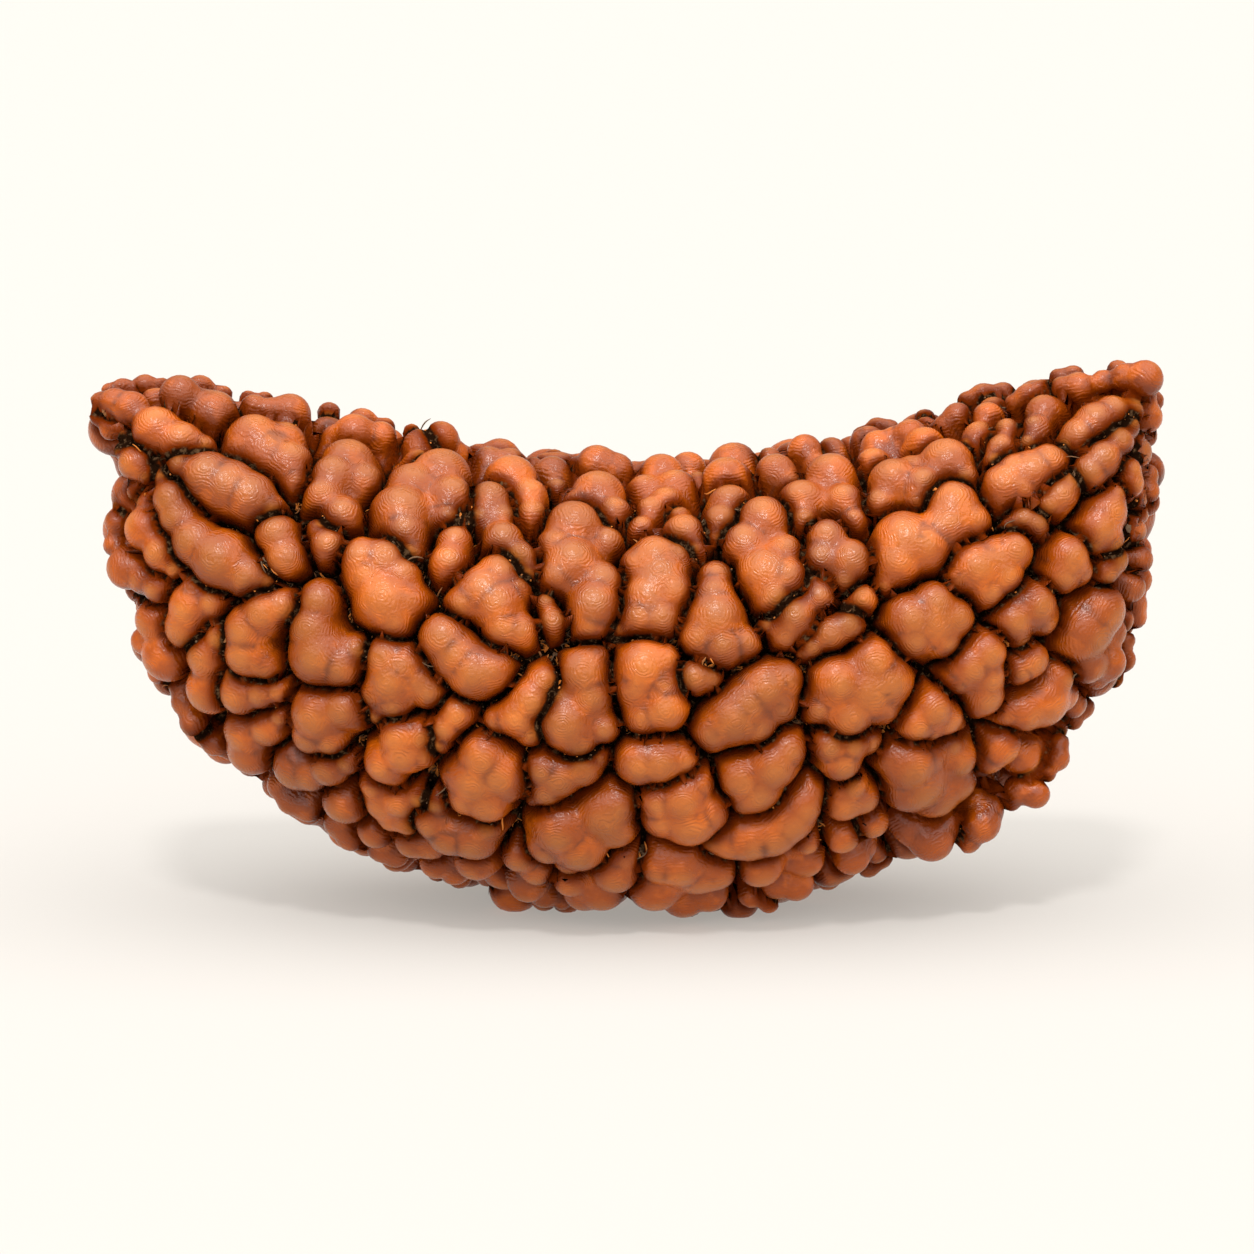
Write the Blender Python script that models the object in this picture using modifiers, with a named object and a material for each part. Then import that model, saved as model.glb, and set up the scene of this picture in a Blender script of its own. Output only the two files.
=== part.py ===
# A half-moon rudraksha seed stone of one face: one piece, its whole outside raised in knobbly lobes
# parted by deep furrows. +X runs along its length, -Y is the side in view and +Z is up. The origin is
# under the middle of the stone, on the ground that it rests on.

import math

import bmesh
import bpy
import numpy as np

# Driving sizes of the stone, in metres
LENGTH = 0.030  # from horn to horn
CORE_HALF_THICKNESS = 0.0054  # of the plain body under the lobes, at the middle
BELLY_MIDDLE = 0.00003  # where the round lower edge has its middle
BELLY_HALF_LENGTH = 0.01495
BELLY_LEVEL = 0.01161  # height at which the round lower edge starts at each end
BELLY_DROP = 0.01188  # how far it falls from there
BELLY_POWER = 1.9  # 2 would be an ellipse
HOLLOW_MIDDLE = 0.0004  # the lowest place of the sagging upper edge
HOLLOW_LEVEL = 0.01269
LEFT_HORN_RISE = 0.00256  # of the upper edge, from the hollow to the left tip
RIGHT_HORN_RISE = 0.00333
HORN_CURVE = 1.5
CORE_INSET = 0.00068  # of the plain body, inside the outline that the lobes make
END_ROUNDING = 36  # the higher, the blunter the ends
THICKNESS_TAPER = 2.2  # the higher, the later the body thins towards the horns
HORN_THINNESS = 0.36  # of the thickness, what is left at the horns
DENT_DEPTH = 0.0010  # where the outline draws in under the left horn
DENT_LEVEL = 0.0117
DENT_HEIGHT = 0.0010
DENT_START = 0.010  # how far left of the middle it begins
LOBE_LIFT = 0.00026  # of a bulge's middle, over the plain body
LEAST_FACING = 0.25  # a bulge seen askew comes forward along the line of sight to stand as high
LOBE_SWELL = 1.10  # bulges meet a little past the radius that was read
EDGE_STEP = 0.0006  # how far behind the edge of view the peeping lobes stand
GROUND_BITE = 0.00012  # what the rest flats take off the lowest bulges

# Form of a lobe: heads that run together, and a dome that fills its ground as far as the furrows
HEAD_GROWTH = 1.15  # of the room that a bulge has in its lobe, how much its head fills
HEAD_SIZES = (1.35, 2.2)  # least and most, in bulge sizes
HEAD_FACING = 2.0  # how fast heads reach those sizes, from none at the edge of view
HEAD_RISE = 0.25  # of what a head grows, how much it also rises
HEAD_BLEND = 0.00008
USUAL_HEADS = 2.0  # the blend swells a lobe of more than these, which is taken off again
FURROW_CUT = 0.00025  # how much deeper a furrow is than where two lobes meet
FURROW_WIDTH = 0.00022
FURROW_DEPTH = 0.00055  # of the domes' edges, under the plain body
DOME_SHARE = 0.60  # how high the domes stand, in head sizes
DOME_POWER = 2.2
DOME_BLEND = 0.00012
LOBE_REACH = 0.0012  # past its heads, as far as a lobe is felt
LEAST_FROM_MIDDLE = 0.2  # of a head's size, where the dome is already level

# How the photograph's pixels become places on the stone
PHOTO_MIDDLE = 627  # centre column and row
PHOTO_LENGTH = 1072  # of the stone, in pixels
METRES_PER_PIXEL = LENGTH / PHOTO_LENGTH
EYE_DISTANCE = 0.12
EYE_RISE = math.radians(10)  # above level
AIM = np.array([-0.00003, 0.0, 0.0080])  # the point on the stone at the photograph's centre

# Lobes of the sides out of view, laid by rule
SEED = 11
SEEN_SLOPE = 0.12  # the rule leaves the face that shows to the lobes read off it
HIDDEN_ROUNDS = ((3, 0.00054, 0.00076), (2, 0.00042, 0.00058), (1, 0.00034, 0.00046))  # fewest bulges, radii
LOBE_CLEARANCE = 0.92  # of two radii, between bulges of different lobes
RIM_SLOPE = 0.6  # bulges that turn away less than this are at the edge of view
PEEP_PIXELS = 5  # how far such a bulge may stand out past the lobes read off the photograph
LEAN_SPREAD = 0.5  # of a lobe's direction, in radians
DEPTH_SPREAD = 0.3
BULGE_STEP = 0.62  # of two radii, between bulges of one lobe
BULGE_WANDER = 0.0001
CHAIN_LENGTHS = (2, 5)  # further bulges in a lobe, the last number left out
SHOULDER_SHARE = 0.6  # of the bulges in a chain, how many have one beside them
FEET = ((-0.0032, -0.0004), (0.0031, -0.0012), (0.0006, 0.0017))  # where the stone touches the ground
FOOT_RADIUS = 0.00055

SHELL_COLOUR = (0.33, 0.085, 0.023, 1.0)
SHELL_ROUGHNESS = 0.45

# Fineness
BODY_STEPS = (220, 160)  # points along and around when the plain body is searched
BODY_RINGS = (44, 36)  # rings and sides of its mesh
REMESH_SIZE = 0.00018
SETTLE_ROUNDS = 3
SETTLE_STEPS = 3  # towards the stone's form, in each round
LONGEST_STEP = 0.0003  # that a point takes towards the stone's form at once
TRIANGLES = 11700
SHORT_OF_TIP = 0.9999  # the plain body's end rings keep a little width
THINNEST = 1e-5  # half thickness that the searched body keeps at its ends
SLOPE_STEP = 1e-6
LEAST_STEEPNESS = 0.25
MERGE_DISTANCE = 1e-7
TINY = 1e-12  # keeps a division safe
FAR = 0.01  # further than any lobe is felt

# Lobes of the side in view, each a row of bulges: column, row and radius in pixels of the photograph
FACE_LOBES = (
    # left horn and left side
    ((103, 404, 11), (118, 404, 14), (135, 411, 17), (158, 430, 20), (182, 443, 18), (203, 450, 13)),
    ((101, 417, 10), (113, 430, 11), (128, 441, 11)),
    ((126, 449, 11), (135, 464, 14), (148, 474, 10)),
    ((139, 492, 9),),
    ((184, 396, 18), (205, 405, 14), (218, 416, 22), (240, 424, 13)),
    ((256, 410, 14), (275, 414, 14), (293, 416, 20), (302, 430, 13)),
    ((256, 440, 22), (243, 450, 13), (270, 452, 16), (286, 442, 18), (290, 464, 19), (295, 481, 12)),
    ((183, 467, 14), (208, 477, 21), (230, 487, 20), (251, 498, 21), (270, 511, 14)),
    ((158, 462, 7), (165, 478, 10), (174, 500, 17), (180, 518, 17), (196, 542, 20), (222, 560, 24),
     (248, 576, 18), (267, 581, 12)),
    ((150, 503, 11), (146, 528, 17), (163, 553, 16), (177, 567, 11)),
    ((121, 522, 13), (118, 545, 12), (128, 569, 16), (143, 578, 12), (159, 588, 13)),
    ((277, 534, 17), (286, 559, 17)),
    ((321, 530, 11), (329, 546, 15)),
    ((197, 590, 13), (192, 607, 18), (213, 602, 14), (187, 628, 18)),
    ((155, 622, 15), (147, 641, 13), (168, 657, 19), (162, 672, 12)),
    ((222, 637, 14), (208, 655, 18), (209, 672, 13), (211, 690, 20)),
    ((182, 684, 12), (187, 702, 13), (198, 722, 15)),
    ((237, 674, 11), (241, 693, 18), (262, 692, 14), (279, 690, 11)),
    ((284, 607, 16), (266, 613, 19), (249, 630, 20), (249, 653, 20), (266, 664, 14)),
    ((320, 601, 17), (313, 628, 19), (319, 656, 20), (341, 666, 18), (357, 650, 13)),
    ((247, 733, 16), (268, 728, 14), (252, 752, 17), (281, 716, 9)),
    ((205, 731, 12), (217, 742, 13), (231, 750, 9)),
    # top left and middle
    ((338, 440, 14), (357, 435, 19), (383, 438, 15), (393, 452, 11)),
    ((350, 461, 18), (334, 477, 18), (363, 480, 13), (323, 496, 14), (343, 516, 17)),
    ((424, 450, 20), (419, 464, 13)),
    ((442, 441, 18), (457, 455, 13), (413, 434, 10)),
    ((442, 476, 24), (451, 498, 19), (448, 518, 13), (414, 487, 19), (402, 510, 18), (405, 533, 18),
     (411, 554, 13)),
    ((464, 521, 10), (455, 541, 14), (449, 563, 15)),
    ((512, 480, 22), (529, 497, 16), (532, 516, 14)),
    ((490, 502, 18), (480, 520, 12), (502, 518, 13), (503, 540, 16), (519, 560, 16), (526, 576, 11)),
    ((499, 575, 18), (483, 591, 20), (465, 604, 16), (497, 605, 21), (516, 590, 14), (503, 628, 17),
     (520, 631, 15)),
    ((553, 477, 19), (556, 492, 12), (534, 467, 10)),
    ((597, 467, 20), (616, 472, 17), (577, 468, 11)),
    ((598, 495, 21), (578, 504, 13), (613, 515, 16)),
    ((574, 528, 23), (557, 546, 15), (572, 563, 19), (558, 577, 16), (606, 543, 14), (601, 583, 17),
     (594, 606, 21), (591, 626, 16)),
    ((546, 602, 9), (553, 622, 12)),
    ((362, 558, 17), (385, 560, 18), (403, 575, 15), (370, 577, 15), (385, 600, 20), (405, 602, 14),
     (395, 620, 16)),
    ((655, 558, 19), (640, 566, 15), (674, 560, 16), (660, 578, 18), (648, 597, 19), (672, 592, 17),
     (640, 617, 16), (660, 618, 16), (622, 630, 10), (608, 639, 6)),
    ((716, 578, 13), (714, 596, 17), (716, 618, 22), (700, 637, 17), (722, 645, 19), (743, 643, 15)),
    # top right
    ((661, 477, 21), (645, 489, 12), (675, 487, 14), (666, 503, 14), (651, 513, 14), (641, 529, 12)),
    ((684, 535, 18), (694, 552, 12), (679, 517, 10)),
    ((725, 480, 20), (744, 483, 12)),
    ((729, 504, 17), (721, 523, 16), (718, 540, 11)),
    ((774, 474, 18), (788, 484, 11)),
    ((803, 452, 16), (815, 464, 9)),
    ((829, 476, 19), (843, 502, 16), (853, 519, 10), (801, 502, 19), (804, 521, 13)),
    ((763, 521, 21), (744, 545, 19), (783, 553, 16), (763, 573, 20), (785, 577, 18), (773, 598, 18)),
    ((794, 617, 18), (785, 635, 13), (768, 625, 10), (818, 597, 14), (811, 583, 11)),
    ((826, 538, 16), (821, 559, 16), (850, 560, 17), (844, 580, 13)),
    ((862, 599, 13), (849, 612, 11)),
    ((847, 625, 15), (829, 634, 15), (812, 647, 11), (801, 654, 7)),
    ((903, 540, 22), (887, 553, 14), (922, 545, 18), (897, 561, 18), (884, 585, 9), (937, 532, 17),
     (952, 506, 21), (948, 524, 18), (970, 520, 14)),
    ((892, 481, 19), (879, 503, 13), (911, 472, 12), (922, 487, 17), (916, 502, 11), (945, 463, 21),
     (963, 479, 13)),
    ((875, 447, 15), (872, 463, 13), (892, 441, 13), (908, 437, 16), (922, 443, 13)),
    ((955, 418, 14), (943, 429, 13), (932, 433, 9)),
    ((985, 420, 16), (978, 437, 14), (968, 448, 10)),
    ((1006, 433, 13), (1000, 449, 13), (994, 463, 10)),
    ((1040, 412, 15), (1034, 430, 13), (1028, 446, 11), (1052, 409, 11)),
    ((1002, 485, 17), (1014, 474, 17), (1031, 472, 18), (1047, 463, 16), (1058, 459, 11),
     (1020, 489, 14), (994, 498, 10)),
    ((1012, 405, 10), (1025, 397, 12), (1040, 391, 11)),
    ((1058, 391, 13), (1075, 389, 15), (1100, 383, 12), (1122, 379, 14), (1141, 380, 17)),
    ((1129, 411, 12), (1111, 413, 15), (1094, 423, 17), (1078, 436, 15), (1065, 448, 11)),
    ((1127, 425, 11), (1116, 442, 14), (1101, 459, 16), (1088, 473, 15)),
    ((1069, 485, 12), (1059, 496, 14), (1048, 506, 12)),
    ((1022, 519, 11), (1036, 524, 11), (1009, 528, 8)),
    # right side
    ((1114, 495, 10), (1108, 512, 13), (1098, 528, 15), (1109, 542, 13), (1091, 543, 11)),
    ((1068, 557, 17), (1061, 575, 15), (1078, 571, 12)),
    ((1113, 560, 13), (1104, 573, 12)),
    ((1128, 470, 11), (1131, 484, 11)),
    ((1098, 612, 22), (1084, 632, 22), (1106, 632, 16), (1103, 662, 18), (1084, 662, 19),
     (1094, 677, 12)),
    ((1012, 620, 16), (1035, 604, 17), (1019, 600, 12), (1017, 635, 12), (1042, 618, 11)),
    ((1012, 551, 16), (992, 558, 15), (975, 567, 17), (959, 578, 12), (1003, 575, 16), (987, 590, 14)),
    ((933, 603, 17), (909, 618, 16), (932, 622, 15), (912, 638, 15), (953, 618, 14), (943, 641, 14)),
    ((985, 652, 17), (968, 666, 17), (986, 676, 16), (957, 679, 12), (984, 696, 14), (974, 708, 9)),
    ((1030, 660, 15), (1017, 668, 14)),
    ((1058, 677, 14), (1060, 695, 14), (1044, 703, 17), (1024, 710, 18), (1007, 712, 11)),
    # lower right
    ((1000, 745, 17), (1018, 754, 18), (1031, 747, 13), (989, 757, 13)),
    ((1056, 742, 11), (1055, 758, 12), (1044, 773, 10)),
    ((1018, 789, 13), (1033, 793, 14), (1009, 801, 10)),
    ((908, 764, 21), (927, 757, 15), (915, 783, 21), (935, 794, 18), (954, 782, 16), (958, 760, 13),
     (950, 745, 10), (892, 758, 12)),
    ((932, 708, 16), (946, 718, 13), (915, 724, 14), (929, 729, 11), (957, 722, 8)),
    ((912, 825, 19), (930, 838, 20), (943, 824, 16)),
    ((973, 800, 14), (988, 808, 14), (979, 823, 17), (966, 839, 13)),
    ((852, 784, 13), (844, 802, 14), (862, 798, 12)),
    ((871, 822, 13),),
    ((842, 836, 15), (850, 856, 16), (862, 847, 11)),
    ((828, 745, 14), (850, 745, 14), (841, 762, 16), (868, 742, 9)),
    ((836, 682, 21), (872, 662, 19), (886, 681, 19), (868, 690, 18), (848, 714, 19), (881, 705, 13),
     (820, 706, 11)),
    ((783, 680, 15), (765, 688, 18), (748, 703, 17), (733, 718, 19), (713, 731, 14), (777, 702, 13),
     (756, 724, 14)),
    ((740, 777, 16), (772, 765, 18), (787, 750, 13), (757, 790, 14), (744, 799, 11)),
    ((714, 841, 8), (730, 842, 12), (750, 839, 16), (772, 834, 16), (790, 821, 14), (803, 807, 12),
     (812, 794, 8)),
    ((760, 868, 15), (775, 880, 17), (795, 882, 16), (806, 862, 12), (807, 843, 9)),
    ((750, 893, 13), (768, 901, 11)),
    # centre and lower left
    ((444, 638, 20), (457, 655, 18), (475, 672, 20), (492, 670, 18), (481, 656, 13)),
    ((532, 700, 18), (545, 682, 15), (518, 716, 17), (498, 720, 12), (531, 731, 13)),
    ((583, 672, 20), (592, 658, 14), (561, 696, 14), (590, 695, 16), (565, 722, 22), (578, 740, 16),
     (603, 728, 12)),
    ((643, 667, 21), (636, 685, 16), (662, 662, 16), (662, 685, 17), (665, 708, 19), (645, 715, 14),
     (620, 645, 7)),
    ((693, 677, 15), (709, 678, 12)),
    ((640, 762, 17), (660, 760, 19), (681, 758, 14)),
    ((543, 768, 15), (560, 776, 16), (548, 789, 14), (534, 796, 9), (582, 768, 15), (598, 757, 10)),
    ((683, 797, 19), (698, 783, 14), (658, 800, 15), (690, 820, 20), (708, 812, 15), (664, 816, 14)),
    ((680, 865, 16), (660, 865, 15), (655, 888, 18), (683, 894, 20), (708, 891, 18), (716, 872, 14),
     (698, 873, 15)),
    ((560, 828, 21), (548, 845, 15), (580, 845, 21), (570, 860, 12), (605, 815, 16), (617, 805, 14),
     (614, 828, 15)),
    ((571, 880, 14), (584, 892, 15), (602, 890, 16), (615, 872, 17), (622, 857, 12)),
    ((520, 856, 13), (537, 870, 13), (528, 885, 14), (545, 893, 13), (562, 900, 9)),
    ((437, 863, 13), (455, 870, 13), (475, 863, 13)),
    ((484, 755, 20), (501, 772, 21), (476, 778, 18), (467, 796, 16), (488, 801, 18), (459, 776, 11),
     (512, 786, 13)),
    ((438, 800, 13), (433, 820, 16), (450, 833, 18), (413, 840, 15), (474, 838, 16), (488, 825, 13),
     (430, 845, 11)),
    ((402, 800, 15), (421, 795, 12), (408, 820, 13), (383, 803, 13), (374, 787, 9), (392, 818, 11)),
    ((345, 803, 16), (343, 820, 16), (353, 835, 14)),
    ((376, 832, 13), (384, 845, 15), (397, 853, 13)),
    ((282, 786, 12), (293, 800, 13), (310, 806, 14)),
    ((330, 767, 16), (312, 773, 14), (295, 770, 14), (290, 755, 9), (348, 760, 12)),
    ((318, 714, 18), (344, 708, 17), (358, 716, 12), (312, 735, 16), (332, 738, 15)),
    ((386, 657, 17), (403, 665, 16), (392, 680, 18), (376, 693, 13), (395, 702, 15), (378, 714, 10),
     (417, 680, 12), (428, 691, 11)),
    ((400, 735, 17), (420, 735, 14), (405, 752, 17), (385, 763, 15), (395, 773, 11), (423, 752, 13)),
    ((458, 714, 12), (446, 727, 13), (440, 742, 11)),
)

# Lobes that only peep over the edge, from just behind it
EDGE_LOBES = (
    ((108, 390, 7), (122, 387, 9), (145, 387, 13), (163, 386, 9)),
    ((200, 390, 15), (222, 397, 12)),
    ((248, 400, 10), (265, 401, 10)),
    ((146, 608, 8),),
    ((329, 414, 11),),
    ((362, 424, 16), (385, 428, 11)),
    ((478, 458, 14), (500, 458, 19), (518, 463, 10)),
    ((554, 461, 11),),
    ((688, 470, 18), (699, 484, 12)),
    ((637, 482, 8),),
    ((732, 462, 14), (760, 464, 12)),
    ((830, 449, 12), (840, 458, 9)),
    ((862, 437, 11), (877, 429, 12), (890, 429, 10)),
    ((925, 421, 11),),
    ((967, 402, 11), (983, 397, 14), (1003, 396, 14)),
    ((1058, 378, 10), (1073, 376, 11)),
    ((1118, 370, 9),),
    ((1155, 400, 9), (1151, 418, 10), (1147, 436, 10), (1138, 452, 12)),
    ((1148, 475, 11), (1149, 492, 11), (1138, 500, 9)),
    ((1139, 514, 10), (1133, 531, 13)),
    ((1137, 560, 11), (1138, 580, 14), (1121, 586, 10), (1132, 604, 15), (1136, 618, 11)),
    ((1126, 640, 10), (1124, 660, 12), (1113, 678, 11)),
    ((1083, 707, 12), (1073, 721, 10)),
    ((880, 855, 14), (868, 866, 12)),
    ((828, 878, 12), (842, 872, 9)),
    ((488, 877, 10), (503, 876, 11)),
)


def half_sizes(along):
    """Middle height, half height and half thickness of the plain body at each place along it."""
    share = np.clip(np.abs(along - BELLY_MIDDLE) / (BELLY_HALF_LENGTH - CORE_INSET), 0, 1)
    lower = BELLY_LEVEL - (BELLY_DROP - CORE_INSET) * (1 - share**BELLY_POWER) ** (1 / BELLY_POWER)
    rise = np.where(along < HOLLOW_MIDDLE, LEFT_HORN_RISE, RIGHT_HORN_RISE)
    reach = np.clip(np.abs(along - HOLLOW_MIDDLE) / BELLY_HALF_LENGTH, 0, 1)
    upper = HOLLOW_LEVEL + rise * reach**HORN_CURVE - CORE_INSET
    ends = np.sqrt(1 - share**END_ROUNDING)
    thick = CORE_HALF_THICKNESS * (1 - (1 - HORN_THINNESS) * share**THICKNESS_TAPER) * ends
    return (upper + lower) / 2, (upper - lower) / 2 * ends, thick


def dent_at(points):
    """How far the plain body draws in under the left horn."""
    level = np.exp(-(((points[..., 2] - DENT_LEVEL) / DENT_HEIGHT) ** 2))
    near = np.clip((-points[..., 0] - DENT_START) / (BELLY_HALF_LENGTH - DENT_START), 0, 1)
    return DENT_DEPTH * level * near


def body_points(steps_along, steps_around):
    """Points of the plain body and their outward normals, as two grids."""
    reach = BELLY_HALF_LENGTH - CORE_INSET
    turn = np.linspace(0, math.pi, steps_along)
    along = BELLY_MIDDLE - reach * np.cos(turn) * SHORT_OF_TIP
    middle, height, thick = half_sizes(along)
    around = np.linspace(0, 2 * math.pi, steps_around, endpoint=False)
    x = np.repeat(along[:, None], steps_around, 1)
    y = thick[:, None] * np.cos(around)
    z = middle[:, None] + height[:, None] * np.sin(around)
    points = np.stack([x, y, z], -1)
    points[..., 0] += dent_at(points)
    lengthwise = np.gradient(points, axis=0)
    sideways = np.roll(points, -1, 1) - np.roll(points, 1, 1)
    normals = np.cross(sideways, lengthwise)
    normals /= np.linalg.norm(normals, axis=-1, keepdims=True) + TINY
    return points, normals


def body_distance(points):
    """How far outside the plain body each point is, nearly."""
    along = points[:, 0] - dent_at(points)
    middle, height, thick = half_sizes(along)
    height, thick = np.maximum(height, THINNEST), np.maximum(thick, THINNEST)
    across, rise = points[:, 1] / thick, (points[:, 2] - middle) / height
    share = np.hypot(across, rise)
    slope = np.hypot(across / thick, rise / height) / np.maximum(share, TINY)
    beyond = np.abs(along - BELLY_MIDDLE) - (BELLY_HALF_LENGTH - CORE_INSET)
    return np.maximum((share - 1) / np.maximum(slope, TINY), beyond)


def body_slope(points):
    """The outward direction of the plain body round each point."""
    shifts = np.eye(3) * SLOPE_STEP
    slope = np.stack([body_distance(points + shift) - body_distance(points - shift) for shift in shifts], 1)
    return slope / (np.linalg.norm(slope, axis=1, keepdims=True) + TINY)


def eye_axes():
    """The eye's place and its right, up and forward directions."""
    forward = np.array([0.0, math.cos(EYE_RISE), -math.sin(EYE_RISE)])
    up = np.array([0.0, math.sin(EYE_RISE), math.cos(EYE_RISE)])
    return AIM - EYE_DISTANCE * forward, np.array([1.0, 0.0, 0.0]), up, forward


def pixels_of(points):
    """Column, row and depth of each point as the photograph shows it."""
    eye, right, up, forward = eye_axes()
    offset = points - eye
    depth = offset @ forward
    scale = EYE_DISTANCE / METRES_PER_PIXEL / depth
    return PHOTO_MIDDLE + offset @ right * scale, PHOTO_MIDDLE - offset @ up * scale, depth


def place_seen(lobes, behind):
    """Bulges of the lobes read off the photograph, each at the depth of the body behind its pixel, as
    (middle, radius, outward direction)."""
    eye, right, up, forward = eye_axes()
    points, normals = (grid.reshape(-1, 3) for grid in body_points(*BODY_STEPS))
    facing = ((points - eye) * normals).sum(1) < 0
    points, normals = points[facing], normals[facing]
    columns, rows, depths = pixels_of(points)
    placed = []
    for lobe in lobes:
        bulges = []
        for column, row, radius in lobe:
            nearest = np.argmin((columns - column) ** 2 + (rows - row) ** 2)
            depth = depths[nearest] + behind
            metres = depth / EYE_DISTANCE * METRES_PER_PIXEL
            spot = eye + depth * forward
            spot = spot + (column - PHOTO_MIDDLE) * metres * right + (PHOTO_MIDDLE - row) * metres * up
            size = radius * metres * LOBE_SWELL
            outward = normals[nearest]
            lift = 0
            if behind == 0:
                lift = min(LOBE_LIFT, size / 2) / max(LEAST_FACING, -outward @ forward)
            bulges.append((spot - lift * forward, size, outward))
        placed.append(bulges)
    return placed


def grow_hidden(placed, draw):
    """Lobes for the rest of the outside: chains of bulges that keep clear of the lobes already there.
    The first round lays the long lobes and the next ones fill what is left between them."""
    points, normals = (grid.reshape(-1, 3) for grid in body_points(*BODY_STEPS))
    facing = ((eye_axes()[0] - points) * normals).sum(1) > SEEN_SLOPE * EYE_DISTANCE
    spots = np.array([bulge[0] for lobe in placed for bulge in lobe])
    sizes = np.array([bulge[1] for lobe in placed for bulge in lobe])
    body = points, normals, facing
    grown = []
    for fewest, small, large in HIDDEN_ROUNDS:
        for index in draw.permutation(len(points)):
            size = draw.uniform(small, large)
            if is_taken(index, size, body, (spots, sizes)):
                continue
            lobe = grow_lobe(index, size, (small, large), body, (spots, sizes), draw)
            if len(lobe) < fewest:
                continue
            grown.append(lobe)
            spots = np.concatenate([spots, [bulge[0] for bulge in lobe]])
            sizes = np.concatenate([sizes, [bulge[1] for bulge in lobe]])
    return grown


def grow_lobe(index, size, limits, body, taken, draw):
    """One lobe: a chain of bulges that leans towards the nearer horn, with shoulders beside some of them."""
    points, normals, _ = body
    here = points[index]
    lobe = [(here + normals[index] * LOBE_LIFT, size, normals[index])]
    lean = -here[0] / BELLY_HALF_LENGTH + draw.normal(0, LEAN_SPREAD)
    heading = np.array([math.sin(lean), DEPTH_SPREAD * draw.normal(), -math.cos(lean)])
    for _ in range(draw.integers(*CHAIN_LENGTHS)):
        shoulder = np.cross(heading, normals[index]) * draw.choice((-1.0, 1.0))
        for turn, share in ((shoulder, SHOULDER_SHARE), (heading, 1)):
            next_size = draw.uniform(*limits)
            step = turn * BULGE_STEP * (size + next_size) + draw.normal(0, BULGE_WANDER, 3)
            nearest = np.argmin(((points - here - step) ** 2).sum(1))
            if draw.random() > share:
                continue
            if is_taken(nearest, next_size, body, taken):
                if turn is heading:
                    return lobe
                continue
            lobe.append((points[nearest] + normals[nearest] * LOBE_LIFT, next_size, normals[nearest]))
        here, size = points[nearest], next_size
    return lobe


def is_crowded(spot, size, spots, sizes):
    away = np.linalg.norm(spots - spot, axis=1)
    return bool((away < LOBE_CLEARANCE * (sizes + size)).any())


def is_peeping(spot, outward, size):
    """Whether a bulge at the edge of view would stand out past the lobes that the photograph shows."""
    _, right, up, forward = eye_axes()
    if outward @ forward > RIM_SLOPE:
        return False
    column, row, depth = pixels_of(spot)
    aside = np.array([outward @ right, -outward @ up])
    radius = size * EYE_DISTANCE / METRES_PER_PIXEL / depth
    tip = np.array([column, row]) + aside / np.linalg.norm(aside) * radius
    circles = np.array([circle for lobe in FACE_LOBES + EDGE_LOBES for circle in lobe], float)
    past = np.hypot(*(circles[:, :2] - tip).T) - circles[:, 2] * LOBE_SWELL
    return past.min() > PEEP_PIXELS


def is_taken(index, size, body, taken):
    """Whether a bulge at that point of the body would show, crowd another lobe or peep out past the edge."""
    points, normals, facing = body
    if facing[index] or is_crowded(points[index], size, *taken):
        return True
    return is_peeping(points[index] + normals[index] * LOBE_LIFT, normals[index], size)


def feet():
    """Three low bulges round the weight, whose undersides reach the ground."""
    down = np.array([0.0, 0.0, -1.0])
    return [[(np.array([x, y, FOOT_RADIUS - GROUND_BITE]), FOOT_RADIUS, down)] for x, y in FEET]


def smooth_least(gaps, softness):
    """The least of each row, rounded where two come near, and each one's share in it."""
    least = gaps.min(1, keepdims=True)
    shares = np.exp((least - gaps) / softness)
    total = shares.sum(1, keepdims=True)
    return least[:, 0] - softness * np.log(total[:, 0]), shares / total


def heads_of(lobes):
    """Middles and radii of each lobe's heads. A bulge grows as wide as its lobe does round it, mostly
    inwards, and none reaches further under the ground than the flats will be cut."""
    bulges = [bulge for lobe in lobes for bulge in lobe]
    spots, sizes, outward = (np.array(column) for column in zip(*bulges))
    owners = np.repeat(np.arange(len(lobes)), [len(lobe) for lobe in lobes])
    room = np.linalg.norm(spots[:, None] - spots, axis=2) - sizes
    room[owners[:, None] == owners] = np.inf
    turned = np.clip(HEAD_FACING * np.abs(outward @ eye_axes()[3]), 0, 1)
    least, most = (1 + (share - 1) * turned for share in HEAD_SIZES)
    heads = np.clip(HEAD_GROWTH * (room.min(1) + sizes) / 2, least * sizes, most * sizes)
    spots = spots - ((heads - sizes) * (1 - HEAD_RISE))[:, None] * outward
    spots[:, 2] = np.maximum(spots[:, 2], heads - GROUND_BITE)
    return [(spots[owners == i], heads[owners == i]) for i in range(len(lobes))]


def lobe_field(points, lobe):
    """Distance to one lobe's heads, with its slope and the size of the nearest ones."""
    centres, radii = lobe
    away = points[:, None] - centres
    lengths = np.linalg.norm(away, axis=2)
    distance, shares = smooth_least(lengths - radii, HEAD_BLEND)
    distance += HEAD_BLEND * math.log(min(len(radii), USUAL_HEADS))
    return distance, (away / lengths[..., None] * shares[..., None]).sum(1), (radii * shares).sum(1)


def touched_points(points, lobe):
    """The points that a lobe could touch."""
    centres, radii = lobe
    middle = centres.mean(0)
    reach = (np.linalg.norm(centres - middle, axis=1) + radii).max() + LOBE_REACH
    return np.where(((points - middle) ** 2).sum(1) < reach**2)[0]


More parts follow.
